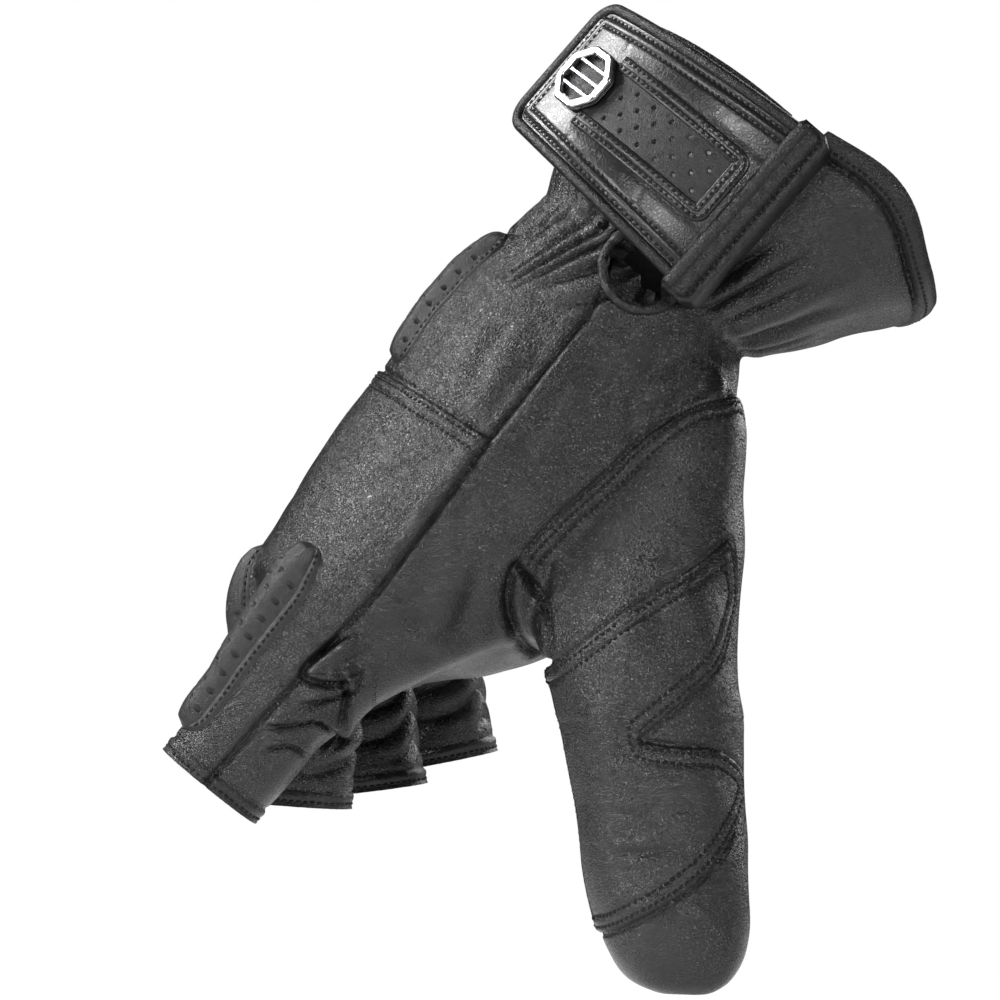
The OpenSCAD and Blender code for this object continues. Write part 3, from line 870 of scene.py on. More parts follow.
class Skin:
    """The finished outer surface, which other pieces are laid on."""

    def __init__(self):
        mesh = plain_volume()
        plain, edges = mesh_arrays(mesh)
        self.quads = quads_of(mesh)
        bpy.data.meshes.remove(mesh)
        self.part = parts_at(plain[self.quads].mean(1))
        self.plain, self.lowest, self.highest = snap_borders(plain, self.quads, self.part)
        self.out = vertex_normals(self.plain, self.quads)
        self.vertex_part = np.where(self.lowest < 0, self.highest, self.lowest)
        lift = relief(self.plain, self.out, self.vertex_part, self.lowest, self.highest, edges)
        self.sunk = np.minimum(relax(np.minimum(lift, 0), edges, 4), lift)
        self.verts = self.plain + lift[:, None] * self.out
        kept = self.quads[self.part != GONE]
        self.normals = vertex_normals(self.verts, kept)
        self.tree = BVHTree.FromPolygons(self.verts.tolist(), kept.tolist())

    def hit(self, origin, way, far=200.0):
        """Where rays from points first meet the skin; missed rays give the nearest point instead."""
        out = np.empty((len(origin), 3))
        for i, (o, w) in enumerate(zip(origin.tolist(), way.tolist())):
            place = self.tree.ray_cast(o, w, far)[0]
            out[i] = place if place is not None else self.tree.find_nearest(o)[0]
        return out

    def settle(self, points):
        """Nearest places on the skin, with the skin's direction outward there."""
        place, normal = np.empty((len(points), 3)), np.empty((len(points), 3))
        for i, p in enumerate(points.tolist()):
            place[i], normal[i] = self.tree.find_nearest(p)[:2]
        return place, normal

    def outward(self, points):
        return self.settle(points)[1]

    def seam_chains(self, pairs, shortest=8.0):
        """Lines of border points between two parts, each with the direction towards the pair's first part."""
        a, b, face = edges_of(self.quads)
        key = np.minimum(a, b) * len(self.verts) + np.maximum(a, b)
        order = np.argsort(key, kind="stable")
        key, face, a, b = key[order], face[order], a[order], b[order]
        twin = np.flatnonzero(key[:-1] == key[1:])
        one, two = self.part[face[twin]], self.part[face[twin + 1]]
        centre = self.plain[self.quads].mean(1)
        links, toward = {}, {}
        for first, second in pairs:
            for flip in (False, True):
                on = (one == first) & (two == second) if not flip else (one == second) & (two == first)
                for k in twin[on]:
                    way = centre[face[k]] - centre[face[k + 1]]
                    way = -way if flip else way
                    for v, w in ((a[k], b[k]), (b[k], a[k])):
                        links.setdefault(int(v), []).append(int(w))
                        toward[int(v)] = toward.get(int(v), 0) + way
        chains, used = [], set()
        for start in sorted(links, key=lambda v: (len(links[v]) != 1, v)):
            if start in used:
                continue
            chain, here = [start], start
            used.add(start)
            while True:
                after = [w for w in links[here] if w not in used]
                if not after:
                    break
                here = after[0]
                used.add(here)
                chain.append(here)
            pts = self.plain[chain]
            if len(chain) > 6 and walked_along(pts)[-1] > shortest:
                side = np.array([toward[v] for v in chain])
                chains.append((running_mean(pts, 4), unit(running_mean(side, 6)), self.out[chain]))
        return chains


def row_beside(chain, offset):
    """Line on the skin at a distance from a seam, towards its first part."""
    pts, side, out = chain
    along = unit(np.gradient(pts, axis=0))
    side = unit(side - (side * along).sum(1)[:, None] * along - (side * out).sum(1)[:, None] * out)
    return running_mean(pts + offset * side, 3)


def running_mean(rows, half):
    padded = np.concatenate([np.repeat(rows[:1], half, 0), rows, np.repeat(rows[-1:], half, 0)])
    window = np.ones(2 * half + 1) / (2 * half + 1)
    return np.stack([np.convolve(column, window, "valid") for column in padded.T], 1)


def solid_part(skin, name, part, thick, slot):
    """Closed solid of some parts of the skin: leather outside, lining inside and cut edges between."""
    faces = skin.quads[skin.part == part]
    used, packed = np.unique(faces, return_inverse=True)
    faces = packed.reshape(-1, 4)
    n = len(used)
    a, b = faces, np.roll(faces, -1, axis=1)
    a, b = a.ravel(), b.ravel()
    key = np.minimum(a, b) * n + np.maximum(a, b)
    _, where, count = np.unique(key, return_index=True, return_counts=True)
    edge = where[count == 1]
    walls = np.column_stack([b[edge], a[edge], a[edge] + n, b[edge] + n])
    out = skin.normals[used]
    under = skin.plain[used] + (skin.sunk[used] - thick)[:, None] * skin.out[used]
    verts = np.concatenate([skin.verts[used], under])
    quads = np.concatenate([walls, faces[:, ::-1] + n, faces])
    p = verts[walls]
    wall_normal = unit(np.cross(p[:, 2] - p[:, 0], p[:, 3] - p[:, 1]) + 1e-12)
    normals = np.concatenate(
        [np.repeat(wall_normal, 4, axis=0), -skin.out[used][faces[:, ::-1].ravel()], out[faces.ravel()]]
    )
    index = np.repeat([0, 1, 0], [len(walls), len(faces), len(faces)])
    return fast_mesh(name, verts, quads, [LOOKS[slot], LOOKS["lining_fabric"]], index, normals)


# ---------------------------------------------------------------- parenting to the bodies; thumb and finger pieces only get their transforms baked


def on_finger(obj):
    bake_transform(obj)


def on_thumb(obj):
    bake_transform(obj)


def carry(obj, where):
    """where is a body's name, thumb_bend or a finger's number."""
    if where == "thumb_bend":
        on_thumb(obj)
    elif isinstance(where, int):
        on_finger(obj)
    else:
        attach(obj, where)
    return obj


def finished(obj, where, slot, *nodes):
    """Gives a piece the look of its slot unless it has its materials already, parents it to its body's empty
    or, on the thumb and fingers, only bakes its transform, and hides the CAD nodes it stands in for.
    """
    if not obj.data.materials:
        obj.data.materials.append(LOOKS[slot])
    carry(obj, where)
    if nodes:
        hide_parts(*nodes)
    return obj


# ---------------------------------------------------------------- thread


def capsule(long, wide, high):
    """A stitch: a short thread lying along X, sunk at its ends."""
    xs = np.array([-0.5, -0.42, -0.24, 0, 0.24, 0.42, 0.5]) * long
    size = np.array([0.25, 0.7, 0.95, 1.0, 0.95, 0.7, 0.25])
    drop = np.array([0.62, 0.36, 0.1, 0, 0.1, 0.36, 0.62]) * high
    turns = full_turn(6)
    rings = [
        np.column_stack([np.full(6, x), np.cos(turns) * wide / 2 * k, np.sin(turns) * high / 2 * k - d])
        for x, k, d in zip(xs, size, drop)
    ]
    verts = np.concatenate(rings)
    return verts, np.array(grid_faces(7, 6, wrap=True))


def walk(line, pitch):
    """Evenly spaced places and directions on a line of points."""
    ahead = walked_along(line)
    want = np.arange(0.5 * pitch, ahead[-1] - 0.3 * pitch, pitch)
    place = rows_at(want, ahead, line)
    way = np.gradient(line, ahead + np.arange(len(ahead)) * 1e-9, axis=0)
    return place, unit(rows_at(want, ahead, way))


def stitch_mesh(name, rows, seed):
    """Rows are (line, outward directions at any places, height above the line)."""
    base, faces = capsule(1.15, 0.68, 0.46)
    rng = np.random.default_rng(seed)
    verts, quads, at = [], [], 0
    for line, outward, rise in rows:
        place, way = walk(np.asarray(line), STITCH_PITCH)
        if not len(place):
            continue
        up = outward(place) if callable(outward) else np.tile(outward, (len(place), 1))
        side = unit(np.cross(up, way))
        up = np.cross(way, side)
        slant = rng.normal(0.16, 0.05, len(place))
        way2 = unit(way + slant[:, None] * side)
        side2 = np.cross(up, way2)
        jitter = rng.normal(0, 0.04, len(place))
        for p, x, y, z, j in zip(place, way2, side2, up, jitter):
            verts.append(p + (rise + j) * z + base[:, :1] * x + base[:, 1:2] * y + base[:, 2:] * z)
            quads.append(faces + at)
            at += len(base)
    return fast_mesh(name, np.concatenate(verts), np.concatenate(quads), [LOOKS["thread"]])


def skin_rows(skin, lines):
    rows = []
    for line in lines:
        place, _ = skin.settle(smooth_line(line, 0.7))
        rows.append((running_mean(place, 1), skin.outward, 0.12))
    return rows


# ---------------------------------------------------------------- materials


class Nodes:
    """Short way to build a material's node tree."""

    def __init__(self, name):
        self.material = bpy.data.materials.new(name)
        self.material.use_nodes = True
        self.tree = self.material.node_tree
        self.shader = self.tree.nodes["Principled BSDF"]
        coords = self.tree.nodes.new("ShaderNodeTexCoord")
        self.coords = coords.outputs["Object"]

    def node(self, kind, inputs=None, **settings):
        made = self.tree.nodes.new(kind)
        for k, v in settings.items():
            setattr(made, k, v)
        for k, v in (inputs or {}).items():
            self.link(made.inputs[k], v)
        return made

    def link(self, socket, value):
        if isinstance(value, bpy.types.NodeSocket):
            self.tree.links.new(value, socket)
        else:
            socket.default_value = value

    def math(self, operation, a, b):
        return self.node("ShaderNodeMath", {0: a, 1: b}, operation=operation).outputs[0]

    def times(self, a, b):
        return self.math("MULTIPLY", a, b)

    def plus(self, a, b):
        return self.math("ADD", a, b)

    def noise(self, scale, detail=3.0, roughness=0.55, distortion=0.0):
        inputs = {"Scale": scale, "Detail": detail, "Roughness": roughness, "Distortion": distortion}
        return self.node("ShaderNodeTexNoise", {"Vector": self.coords, **inputs}).outputs["Fac"]

    def cells(self, scale, coords):
        """Distance to the edge of irregular cells."""
        inputs = {"Vector": coords, "Scale": scale, "Randomness": 1.0}
        made = self.node("ShaderNodeTexVoronoi", feature="DISTANCE_TO_EDGE")
        for k, v in inputs.items():
            self.link(made.inputs[k], v)
        return made.outputs["Distance"]

    def waves(self, scale, distortion, detail, **settings):
        inputs = {"Vector": self.coords, "Scale": scale, "Distortion": distortion, "Detail": detail}
        return self.node("ShaderNodeTexWave", inputs, **settings).outputs["Fac"]

    def spread(self, value, low, high, to_low, to_high):
        inputs = {"Value": value, "From Min": low, "From Max": high, "To Min": to_low, "To Max": to_high}
        return self.node("ShaderNodeMapRange", inputs).outputs["Result"]

    def mix(self, amount, a, b):
        made = self.node("ShaderNodeMix", data_type="RGBA")
        for socket, value in ((0, amount), (6, a), (7, b)):
            self.link(made.inputs[socket], (*value, 1) if isinstance(value, tuple) else value)
        return made.outputs[2]

    def warped(self, amount, scale):
        """Object coordinates pushed about by noise."""
        noise = self.node("ShaderNodeTexNoise", {"Vector": self.coords, "Scale": scale, "Detail": 2.0})
        here = noise.outputs["Color"]
        for inputs, operation in (
            ({1: (0.5, 0.5, 0.5)}, "SUBTRACT"),
            ({"Scale": amount}, "SCALE"),
            ({1: self.coords}, "ADD"),
        ):
            here = self.node("ShaderNodeVectorMath", {0: here, **inputs}, operation=operation).outputs[0]
        return here

    def bump(self, height, distance, strength=1.0, under=None):
        made = self.node("ShaderNodeBump", {"Height": height, "Distance": distance, "Strength": strength})
        if under is not None:
            self.link(made.inputs["Normal"], under)
        return made.outputs["Normal"]

    def done(self, **values):
        for k, v in values.items():
            self.link(self.shader.inputs[k.replace("_", " ")], v)
        return self.material


def leather(name, dark, light, rough, grain, grain_depth, shine=0.5, coat=0.0):
    """Pebbled leather: cells between fine creases, finer pores, soft mottling, painted shade that darkens the
    creases, and worn high spots.
    """
    n = Nodes(name)
    n.shader.inputs["Specular IOR Level"].default_value = shine
    n.shader.inputs["Coat Weight"].default_value = coat
    n.shader.inputs["Coat Roughness"].default_value = 0.28
    warped = n.warped(0.0012, 420)
    creases = n.spread(n.cells(1 / (grain * MM), warped), 0.0, 0.22, 0.0, 1.0)
    fine_creases = n.spread(n.cells(1 / (0.42 * grain * MM), warped), 0.0, 0.25, 0.0, 1.0)
    patch = n.noise(55, 3)
    strength = n.spread(patch, 0.35, 0.65, 0.75, 1.0)
    both = n.plus(n.times(creases, strength), n.times(fine_creases, 0.4))
    pores = n.noise(5200, 2)
    height = n.plus(both, n.times(pores, 0.35))
    wrinkle = n.noise(330, 5, 0.6, distortion=0.6)
    under = n.bump(wrinkle, 0.00022, 0.35)
    normal = n.bump(height, grain_depth * MM, 1.0, under)
    # tone is partly random mottling and partly the grain's creases, so the colour is darker along the
    # creases: painted shade in those recesses
    tone = n.spread(n.plus(n.times(n.noise(120, 4), 0.6), n.times(creases, 0.4)), 0.3, 0.8, 0.0, 1.0)
    worn = n.spread(n.noise(700, 3), 0.55, 0.75, 0.0, 0.35)
    colour = n.mix(worn, n.mix(tone, dark, light), tuple(1.6 * c for c in light))
    roughness = n.plus(n.spread(patch, 0.3, 0.7, rough - 0.05, rough + 0.06), n.times(creases, -0.06))
    return n.done(Base_Color=colour, Roughness=roughness, Normal=normal)


def thread_look(name, colour):
    n = Nodes(name)
    fuzz = n.noise(9000, 2)
    height = n.plus(n.waves(900.0, 3.0, 1.0), n.times(fuzz, 0.5))
    n.shader.inputs["Specular IOR Level"].default_value = 0.3
    tone = n.mix(fuzz, colour, tuple(2.0 * c for c in colour))
    rough = n.spread(fuzz, 0.3, 0.7, 0.42, 0.6)
    return n.done(Base_Color=tone, Roughness=rough, Normal=n.bump(height, 0.00008, 0.8))


def cloth_look(name, colour, scale, depth):
    """Knitted or brushed fabric."""
    n = Nodes(name)
    weave = n.times(*(n.waves(scale, 1.5, 2.0, bands_direction=way) for way in "ZY"))
    fuzz = n.noise(4200, 4, 0.7)
    n.shader.inputs["Sheen Weight"].default_value = 0.4
    tone = n.mix(n.times(fuzz, weave), colour, tuple(2.2 * c for c in colour))
    rough = n.spread(fuzz, 0.3, 0.7, 0.75, 0.95)
    return n.done(Base_Color=tone, Roughness=rough, Normal=n.bump(n.plus(weave, fuzz), depth, 0.8))


def metal_look(name, colour, rough):
    n = Nodes(name)
    n.shader.inputs["Metallic"].default_value = 1.0
    smear = n.noise(900, 4)
    scratches = n.noise(6000, 2, distortion=1.0)
    tone = n.mix(smear, colour, tuple(0.86 * c for c in colour))
    roughness = n.spread(smear, 0.3, 0.7, rough * 0.7, rough * 1.6)
    return n.done(Base_Color=tone, Roughness=roughness, Normal=n.bump(scratches, 0.00001, 0.25))


def make_looks():
    near_black, soft_black = (0.004, 0.004, 0.0045), (0.009, 0.009, 0.0095)
    for name, dark, light, *rest in (
        ("black_leather", near_black, soft_black, 0.29, 0.75, 0.085, 0.6),
        ("binding_leather", (0.0035, 0.0035, 0.004), (0.008, 0.008, 0.0085), 0.38, 0.75, 0.07),
        ("perforated_leather", (0.007, 0.007, 0.0075), (0.014, 0.014, 0.015), 0.42, 0.5, 0.05),
        ("strap_leather", near_black, soft_black, 0.36, 0.9, 0.028, 0.6, 0.15),
    ):
        LOOKS[name] = leather(name, dark, light, *rest)
    for name, colour, scale, depth in (
        ("strap_lining", (0.012, 0.012, 0.013), 1500.0, 0.00012),
        ("lining_fabric", (0.010, 0.010, 0.011), 1100.0, 0.00018),
        ("loop_tape", (0.014, 0.014, 0.015), 2400.0, 0.0004),
        ("hook_tape", (0.012, 0.012, 0.012), 2000.0, 0.0003),
    ):
        LOOKS[name] = cloth_look(name, colour, scale, depth)
    LOOKS["chrome_badge"] = metal_look("chrome_badge", (0.66, 0.66, 0.68), 0.16)
    LOOKS["badge_pins"] = metal_look("badge_pins", (0.6, 0.6, 0.62), 0.2)
    LOOKS["thread"] = thread_look("thread", (0.003, 0.003, 0.0035))


# ---------------------------------------------------------------- sweeps


def swept(name, path, up, section, closed=False, taper=None):
    """Solid swept along a path: section is (sideways, outward) points, and up gives outward directions."""
    path = np.asarray(path, float)
    n = len(path)
    if closed:
        way = unit(np.roll(path, -1, axis=0) - np.roll(path, 1, axis=0))
    else:
        way = unit(np.gradient(path, axis=0))
    up = unit(up - (up * way).sum(1)[:, None] * way)
    side = np.cross(up, way)
    sec = np.asarray(section, float)
    size = np.ones(n) if taper is None else taper
    grid = (
        path[:, None] + sec[None, :, :1] * size[:, None, None] * side[:, None]
        + sec[None, :, 1:] * size[:, None, None] * up[:, None]
    )
    m = len(sec)
    if closed:
        verts = grid.reshape(-1, 3)
        faces = grid_faces(n, m, wrap=True)
        for j in range(m):
            k = (j + 1) % m
            faces.append([(n - 1) * m + j, (n - 1) * m + k, k, j])
        return fast_mesh(name, verts, np.array(faces)[:, ::-1])
    verts = np.concatenate([grid.reshape(-1, 3), [path[0], path[-1]]])
    faces = [q[::-1] for q in grid_faces(n, m, wrap=True)]
    a, b = len(verts) - 2, len(verts) - 1
    for j in range(m):
        k = (j + 1) % m
        faces += [[a, j, k], [b, (n - 1) * m + k, (n - 1) * m + j]]
    return new_object(name, verts, faces)


def round_section(half_wide, half_high, count=14, square=2.4):
    c, s = squared_turn(full_turn(count), square)
    return np.column_stack([half_wide * c, half_high * s])


# ---------------------------------------------------------------- the strap

STRAP_DIR = np.array([-math.sin(math.radians(49)), 0, math.cos(math.radians(49))])
STRAP_ACROSS = np.array([math.cos(math.radians(49)), 0, math.sin(math.radians(49))])
STRAP_ROOT = joint_place("strap_open") + np.array([0, -1.0, 0])
STRAP_RADIUS, STRAP_LENGTH, STRAP_CORNER = 57.0, 60.0, 6.0
BINDING = 2.2
BADGE_AT = 46.0
STRAP_CREASES = (  # place along the strap, place across it, slant and length
    (24, 15.5, 0.15, 6), (31, -15, -0.1, 7), (17, -14, 0.2, 8),
    (11, 15.5, -0.15, 5), (44, 12, 0.3, 5), (40, -13, -0.2, 4),
)
STRAP_ROWS = (3.1, 5.3)  # stitch rows from the strap's edge


def strap_place(along, across, out):
    along, across, out = np.broadcast_arrays(*(np.asarray(v, float) for v in (along, across, out)))
    turn, r = along / STRAP_RADIUS, STRAP_RADIUS + out
    return (
        STRAP_ROOT + (r * np.sin(turn))[..., None] * STRAP_DIR + across[..., None] * STRAP_ACROSS
        + (STRAP_RADIUS - r * np.cos(turn))[..., None] * np.array([0, 1.0, 0])
    )


def strap_out(along):
    turn = np.asarray(along, float) / STRAP_RADIUS
    return np.sin(turn)[..., None] * STRAP_DIR - np.cos(turn)[..., None] * np.array([0, 1.0, 0])


def strap_half(along, inset=0.0):
    """Half width of the strap at a distance along it, with its two round corners."""
    side = STRAP_LENGTH - STRAP_CORNER
    plain = 21 - 4.5 * np.minimum(along, side) / STRAP_LENGTH
    past = np.maximum(along - side, 0)
    r = STRAP_CORNER - inset
    return np.where(past > 0, plain - STRAP_CORNER + np.sqrt(np.maximum(r * r - past**2, 0.0)), plain - inset)


def strap_outline(inset, start=0.4):
    """(along, across) points up one side of the strap, round its end and down the other."""
    side = STRAP_LENGTH - STRAP_CORNER
    r = STRAP_CORNER - inset
    one = [(a, float(strap_half(a)) - inset) for a in np.linspace(start, side, 80)]
    corner = float(strap_half(side)) - STRAP_CORNER
    one += [(side + r * math.sin(t), corner + r * math.cos(t)) for t in np.linspace(0.12, math.pi / 2, 12)]
    end = [(side + r, x) for x in np.linspace(corner, -corner, 34)[1:-1]]
    return np.array(one + end + [(a, -x) for a, x in reversed(one)])


def strap_line(points, out):
    pts = np.asarray(points, float)
    return strap_place(pts[:, 0], pts[:, 1], out)


def strap_relief(along, across):
    """Padding between the seams, and soft creases where the strap bends."""
    edge = np.minimum(strap_half(along) - np.abs(across), STRAP_LENGTH - along)
    lift = 0.4 * ease(edge, 2.4, 6.5)
    lift -= 0.28 * sum(bell(edge - row, 0.4) for row in STRAP_ROWS)
    lift += 0.22 * bell(edge - 4.2, 0.8)
    inset = (np.abs(across) < 11) & (along < 42)
    lift -= np.where(inset, 0.35 * (1 - ease(np.abs(across), 8.5, 11)) * (1 - ease(along, 38, 42)), 0)
    lift += 0.05 * np.sin(along * 0.35 + 0.12 * across + 1.0) * ease(edge, 4, 9)
    for at, side, slant, long in STRAP_CREASES:
        d = along - at - slant * (across - side)
        lift -= 0.12 * bell(d, 0.7) * bell(across - side, long * 0.45) * ease(edge, 3, 6)
    return lift


def strap_body():
    along = np.linspace(0.4, STRAP_LENGTH - BINDING * 0.6, 150)
    g = np.linspace(-1, 1, 110)
    half = strap_half(along, BINDING * 0.6)
    a = np.repeat(along[:, None], len(g), 1)
    c = half[:, None] * g[None]
    outer = strap_place(a, c, strap_relief(a, c) - 0.1)
    inner = strap_place(a, c, -1.2)
    top = thick_sheet("strap_top_leather", outer, inner)
    finished(top, "strap", "strap_leather", "strap_top")
    a2, c2 = a[::3, ::3], c[::3, ::3]
    ripple = 0.12 * np.sin(a2 * 0.9) * np.sin(c2 * 0.8)
    back = thick_sheet(
        "strap_backing_cloth", strap_place(a2, c2, -1.3), strap_place(a2, c2, -2.2 + ripple)
    )
    finished(back, "strap", "strap_lining", "strap_backing")


def strap_edge_band():
    line = strap_outline(0.9)
    path = strap_line(line, -0.75)
    up = strap_out(line[:, 0])
    section = round_section(1.35, 1.55, 18)
    band = swept("strap_edge_binding", path, up, section)
    finished(band, "strap", "binding_leather", "strap_binding")


def strap_perforated():
    """The perforated strip and the raised welts round it."""
    along = np.arange(5.0, 38.4, 0.22)
    across = np.arange(-6.2, 6.21, 0.22)
    a, c = np.meshgrid(along, across, indexing="ij")
    holes = [(9.5 + 5.2 * k + (2.6 if r % 2 else 0), -4.1 + 2.75 * r) for k in range(6) for r in range(4)]
    lift = 0.25 + 0.25 * ease(6.2 - np.abs(c), 0.4, 3)
    for x, y in holes:
        lift -= 0.9 * (1 - ease(np.hypot(a - x, c - y), 0.30, 0.52))
    strip = thick_sheet(
        "strap_perforated_strip", strap_place(a, c, lift), strap_place(a, c, -0.9)
    )
    finished(strip, "strap", "perforated_leather", "strap_inset")
    r = 1.6
    pts = [(x, 7.4) for x in np.linspace(41.5, 5.2 + r, 60)]
    pts += [(5.2 + r - r * math.sin(t), 7.4 - r + r * math.cos(t)) for t in np.linspace(0.1, math.pi / 2, 8)]
    pts += [(5.2, x) for x in np.linspace(7.4 - r, 0, 10)[1:]]
    pts = pts + [(x, -y) for x, y in reversed(pts[:-1])]
    line = np.array(pts)
    path, up = strap_line(line, 0.3), strap_out(line[:, 0])
    t = np.linspace(0, math.pi, 17)
    rise = [0.62 * math.sin(k) ** 0.6 - 0.3 * math.exp(-((math.cos(k) / 0.16) ** 2)) for k in t]
    section = [(-1.75 * math.cos(k), high) for k, high in zip(t, rise)] + [(1.7, -0.9), (-1.7, -0.9)]
    welt = swept("strap_inset_welt", path, up, section[::-1])
    finished(welt, "strap", "strap_leather")
    return line


def offset_line(line, amount):
    way = unit(np.gradient(line, axis=0))
    return line + amount * np.column_stack([way[:, 1], -way[:, 0]])


def strap_thread(welt_line):
    rows = []
    outward = lambda place: strap_out(along_of(place))
    for inset in STRAP_ROWS:
        line = strap_outline(inset, 1.5)
        lift = strap_relief(line[:, 0], line[:, 1])
        rows.append((strap_place(line[:, 0], line[:, 1], lift), outward, 0.02))
    for amount in (-0.85, 0.85):
        line = offset_line(welt_line, amount)
        rows.append((strap_line(line, 0.86), outward, 0.02))
    finished(stitch_mesh("strap_stitches", rows, seed=3), "strap", "binding_leather")


def along_of(place):
    """Distance along the strap of points on it."""
    q = place - STRAP_ROOT
    return STRAP_RADIUS * np.arctan2(q @ STRAP_DIR, STRAP_RADIUS - q[:, 1])


def hook_pad():
    a, c = np.meshgrid(np.linspace(30, 52, 40), np.linspace(-12, 12, 44), indexing="ij")
    bristle = 0.18 * np.sin(a * 5.2) * np.sin(c * 5.2)
    pad = thick_sheet("strap_hook_patch", strap_place(a, c, -2.3), strap_place(a, c, -3.1 + bristle))
    finished(pad, "strap", "hook_tape", "hook_patch")


def badge_frame():
    z = strap_out(np.array(BADGE_AT))
    x = unit(np.cross(STRAP_ACROSS, z))
    return strap_place(BADGE_AT, 0, 0.55), x, STRAP_ACROSS, z


def badge_piece():
    """Openwork badge: an eight-sided bevelled rim with three bars."""
    middle, x, y, z = badge_frame()
    radius = 6.7
    corners = [(radius * math.cos(t), radius * math.sin(t)) for t in np.arange(8) * math.pi / 4 + math.pi / 8]
    path = []
    for a, b in zip(corners, corners[1:] + corners[:1]):
        for t in (0.06, 0.12, 0.35, 0.65, 0.88, 0.94):
            path.append(((1 - t) * a[0] + t * b[0], (1 - t) * a[1] + t * b[1]))
    path = np.array(path)
    place = lambda p, out: middle + p[:, :1] * x + p[:, 1:2] * y + out * z
    rim_section = [(-0.95, -0.8), (-0.95, 0.55), (-0.62, 0.82), (0.62, 0.82), (0.95, 0.55), (0.95, -0.8)]
    out = np.tile(z, (len(path), 1))
    rim = swept("badge_rim", place(path, 0.9), out, chamfered(rim_section)[::-1], True)
    finished(rim, "strap", "chrome_badge", "badge")
    bar_section = [(-0.5, -0.7), (-0.5, 0.3), (-0.26, 0.5), (0.26, 0.5), (0.5, 0.3), (0.5, -0.7)]
    for k in (-1, 0, 1):
        half = 5.9 - 0.75 * abs(k)
        line = np.column_stack([np.linspace(-half, half, 12), np.full(12, 3.0 * k)])
        bar = swept(f"badge_bar_{k + 2}", place(line, 0.75), out[:12], chamfered(bar_section)[::-1])
        finished(bar, "strap", "chrome_badge")
    disc = np.array([(6.2 * math.cos(t), 6.2 * math.sin(t)) for t in full_turn(48)])
    rings = [place(disc * k, 0.1) for k in (0.02, 0.4, 0.8, 1.0)]
    low = [place(disc * k, -0.35) for k in (1.0, 0.02)]
    verts, faces = closed_loft(rings + low)
    seat = new_object("badge_seat", verts, faces)
    finished(seat, "strap", "binding_leather")


def chamfered(section):
    """Doubles each corner of a section slightly, so that edges shade crisply."""
    pts = np.array(section, float)
    out = []
    for a, b, c in zip(np.roll(pts, 1, axis=0), pts, np.roll(pts, -1, axis=0)):
        out.append(b + 0.06 * unit(a - b))
        out.append(b + 0.06 * unit(c - b))
    return out


# ---------------------------------------------------------------- welt, vent and patches round the wrist


WELT_PROFILE = [  # distance along the strap and height
    (2.2, -0.6), (1.9, 0.75), (0.9, 1.5), (-0.2, 1.45), (-1.0, 0.85), (-1.8, 1.15), (-2.9, 1.1), (-3.7, 0.35),
    (-4.3, -0.3), (-4.9, 0.0), (-5.7, -0.2), (-6.3, -1.2),
]


def strap_welt(skin):
    """The ridged strip that covers the strap's sewn end and runs down to the palm half of the cuff."""
    low, high = -23.2, 22.6
    across = np.linspace(low, high, 110)
    prof = smooth_line(WELT_PROFILE, 0.35)
    grid = np.empty((len(across), len(prof), 3))
    for i, c in enumerate(across):
        end = ease(c - low, 0, 1.6) * ease(high - c, 0, 1.6)
        wave = 0.18 * math.sin(c * 1.7) + 0.12 * math.sin(c * 0.63 + 1)
        for j, (a, out) in enumerate(prof):
            flat = STRAP_ROOT + a * STRAP_DIR * (0.6 + 0.4 * end) + c * STRAP_ACROSS
            grid[i, j] = flat + (out + wave * 0.4) * end * THUMB_SIDE
    foot = grid[:, -1] - 1.6 * STRAP_DIR
    foot = skin.hit(foot + np.array([0, -60, 0]), np.tile([0, 1.0, 0], (len(foot), 1)))
    near = np.flatnonzero(np.abs(foot[:, 1] - np.median(foot[:, 1])) < 9)
    foot = rows_at(np.arange(len(foot)), near, foot[near])
    foot = running_mean(foot, 3)
    steps = np.linspace(0, 1, 10)[1:]
    ramp = np.stack([grid[:, -1] * (1 - t) ** 1.5 + foot * (1 - (1 - t) ** 1.5) for t in steps], 1)
    outer = np.concatenate([grid, ramp], 1)
    inner = outer.copy()
    inner[:, :, 1] = np.minimum(foot[:, None, 1] + 1.0, outer[:, :, 1] + 9)
    inner[:, :, 1] = np.maximum(inner[:, :, 1], outer[:, :, 1] + 1.2)
    piece = thick_sheet("cuff_welt_leather", outer[:, ::-1], inner[:, ::-1])
    finished(piece, "hand", "binding_leather", "cuff_welt")
    rows = []
    for column in (int(len(prof) * 0.66), int(len(prof) * 0.78)):
        rows.append((grid[3:-3, column], np.array([0.25, -1.0, -0.2]), 0.08))
    finished(stitch_mesh("cuff_welt_stitches", rows, seed=5), "hand", "binding_leather")


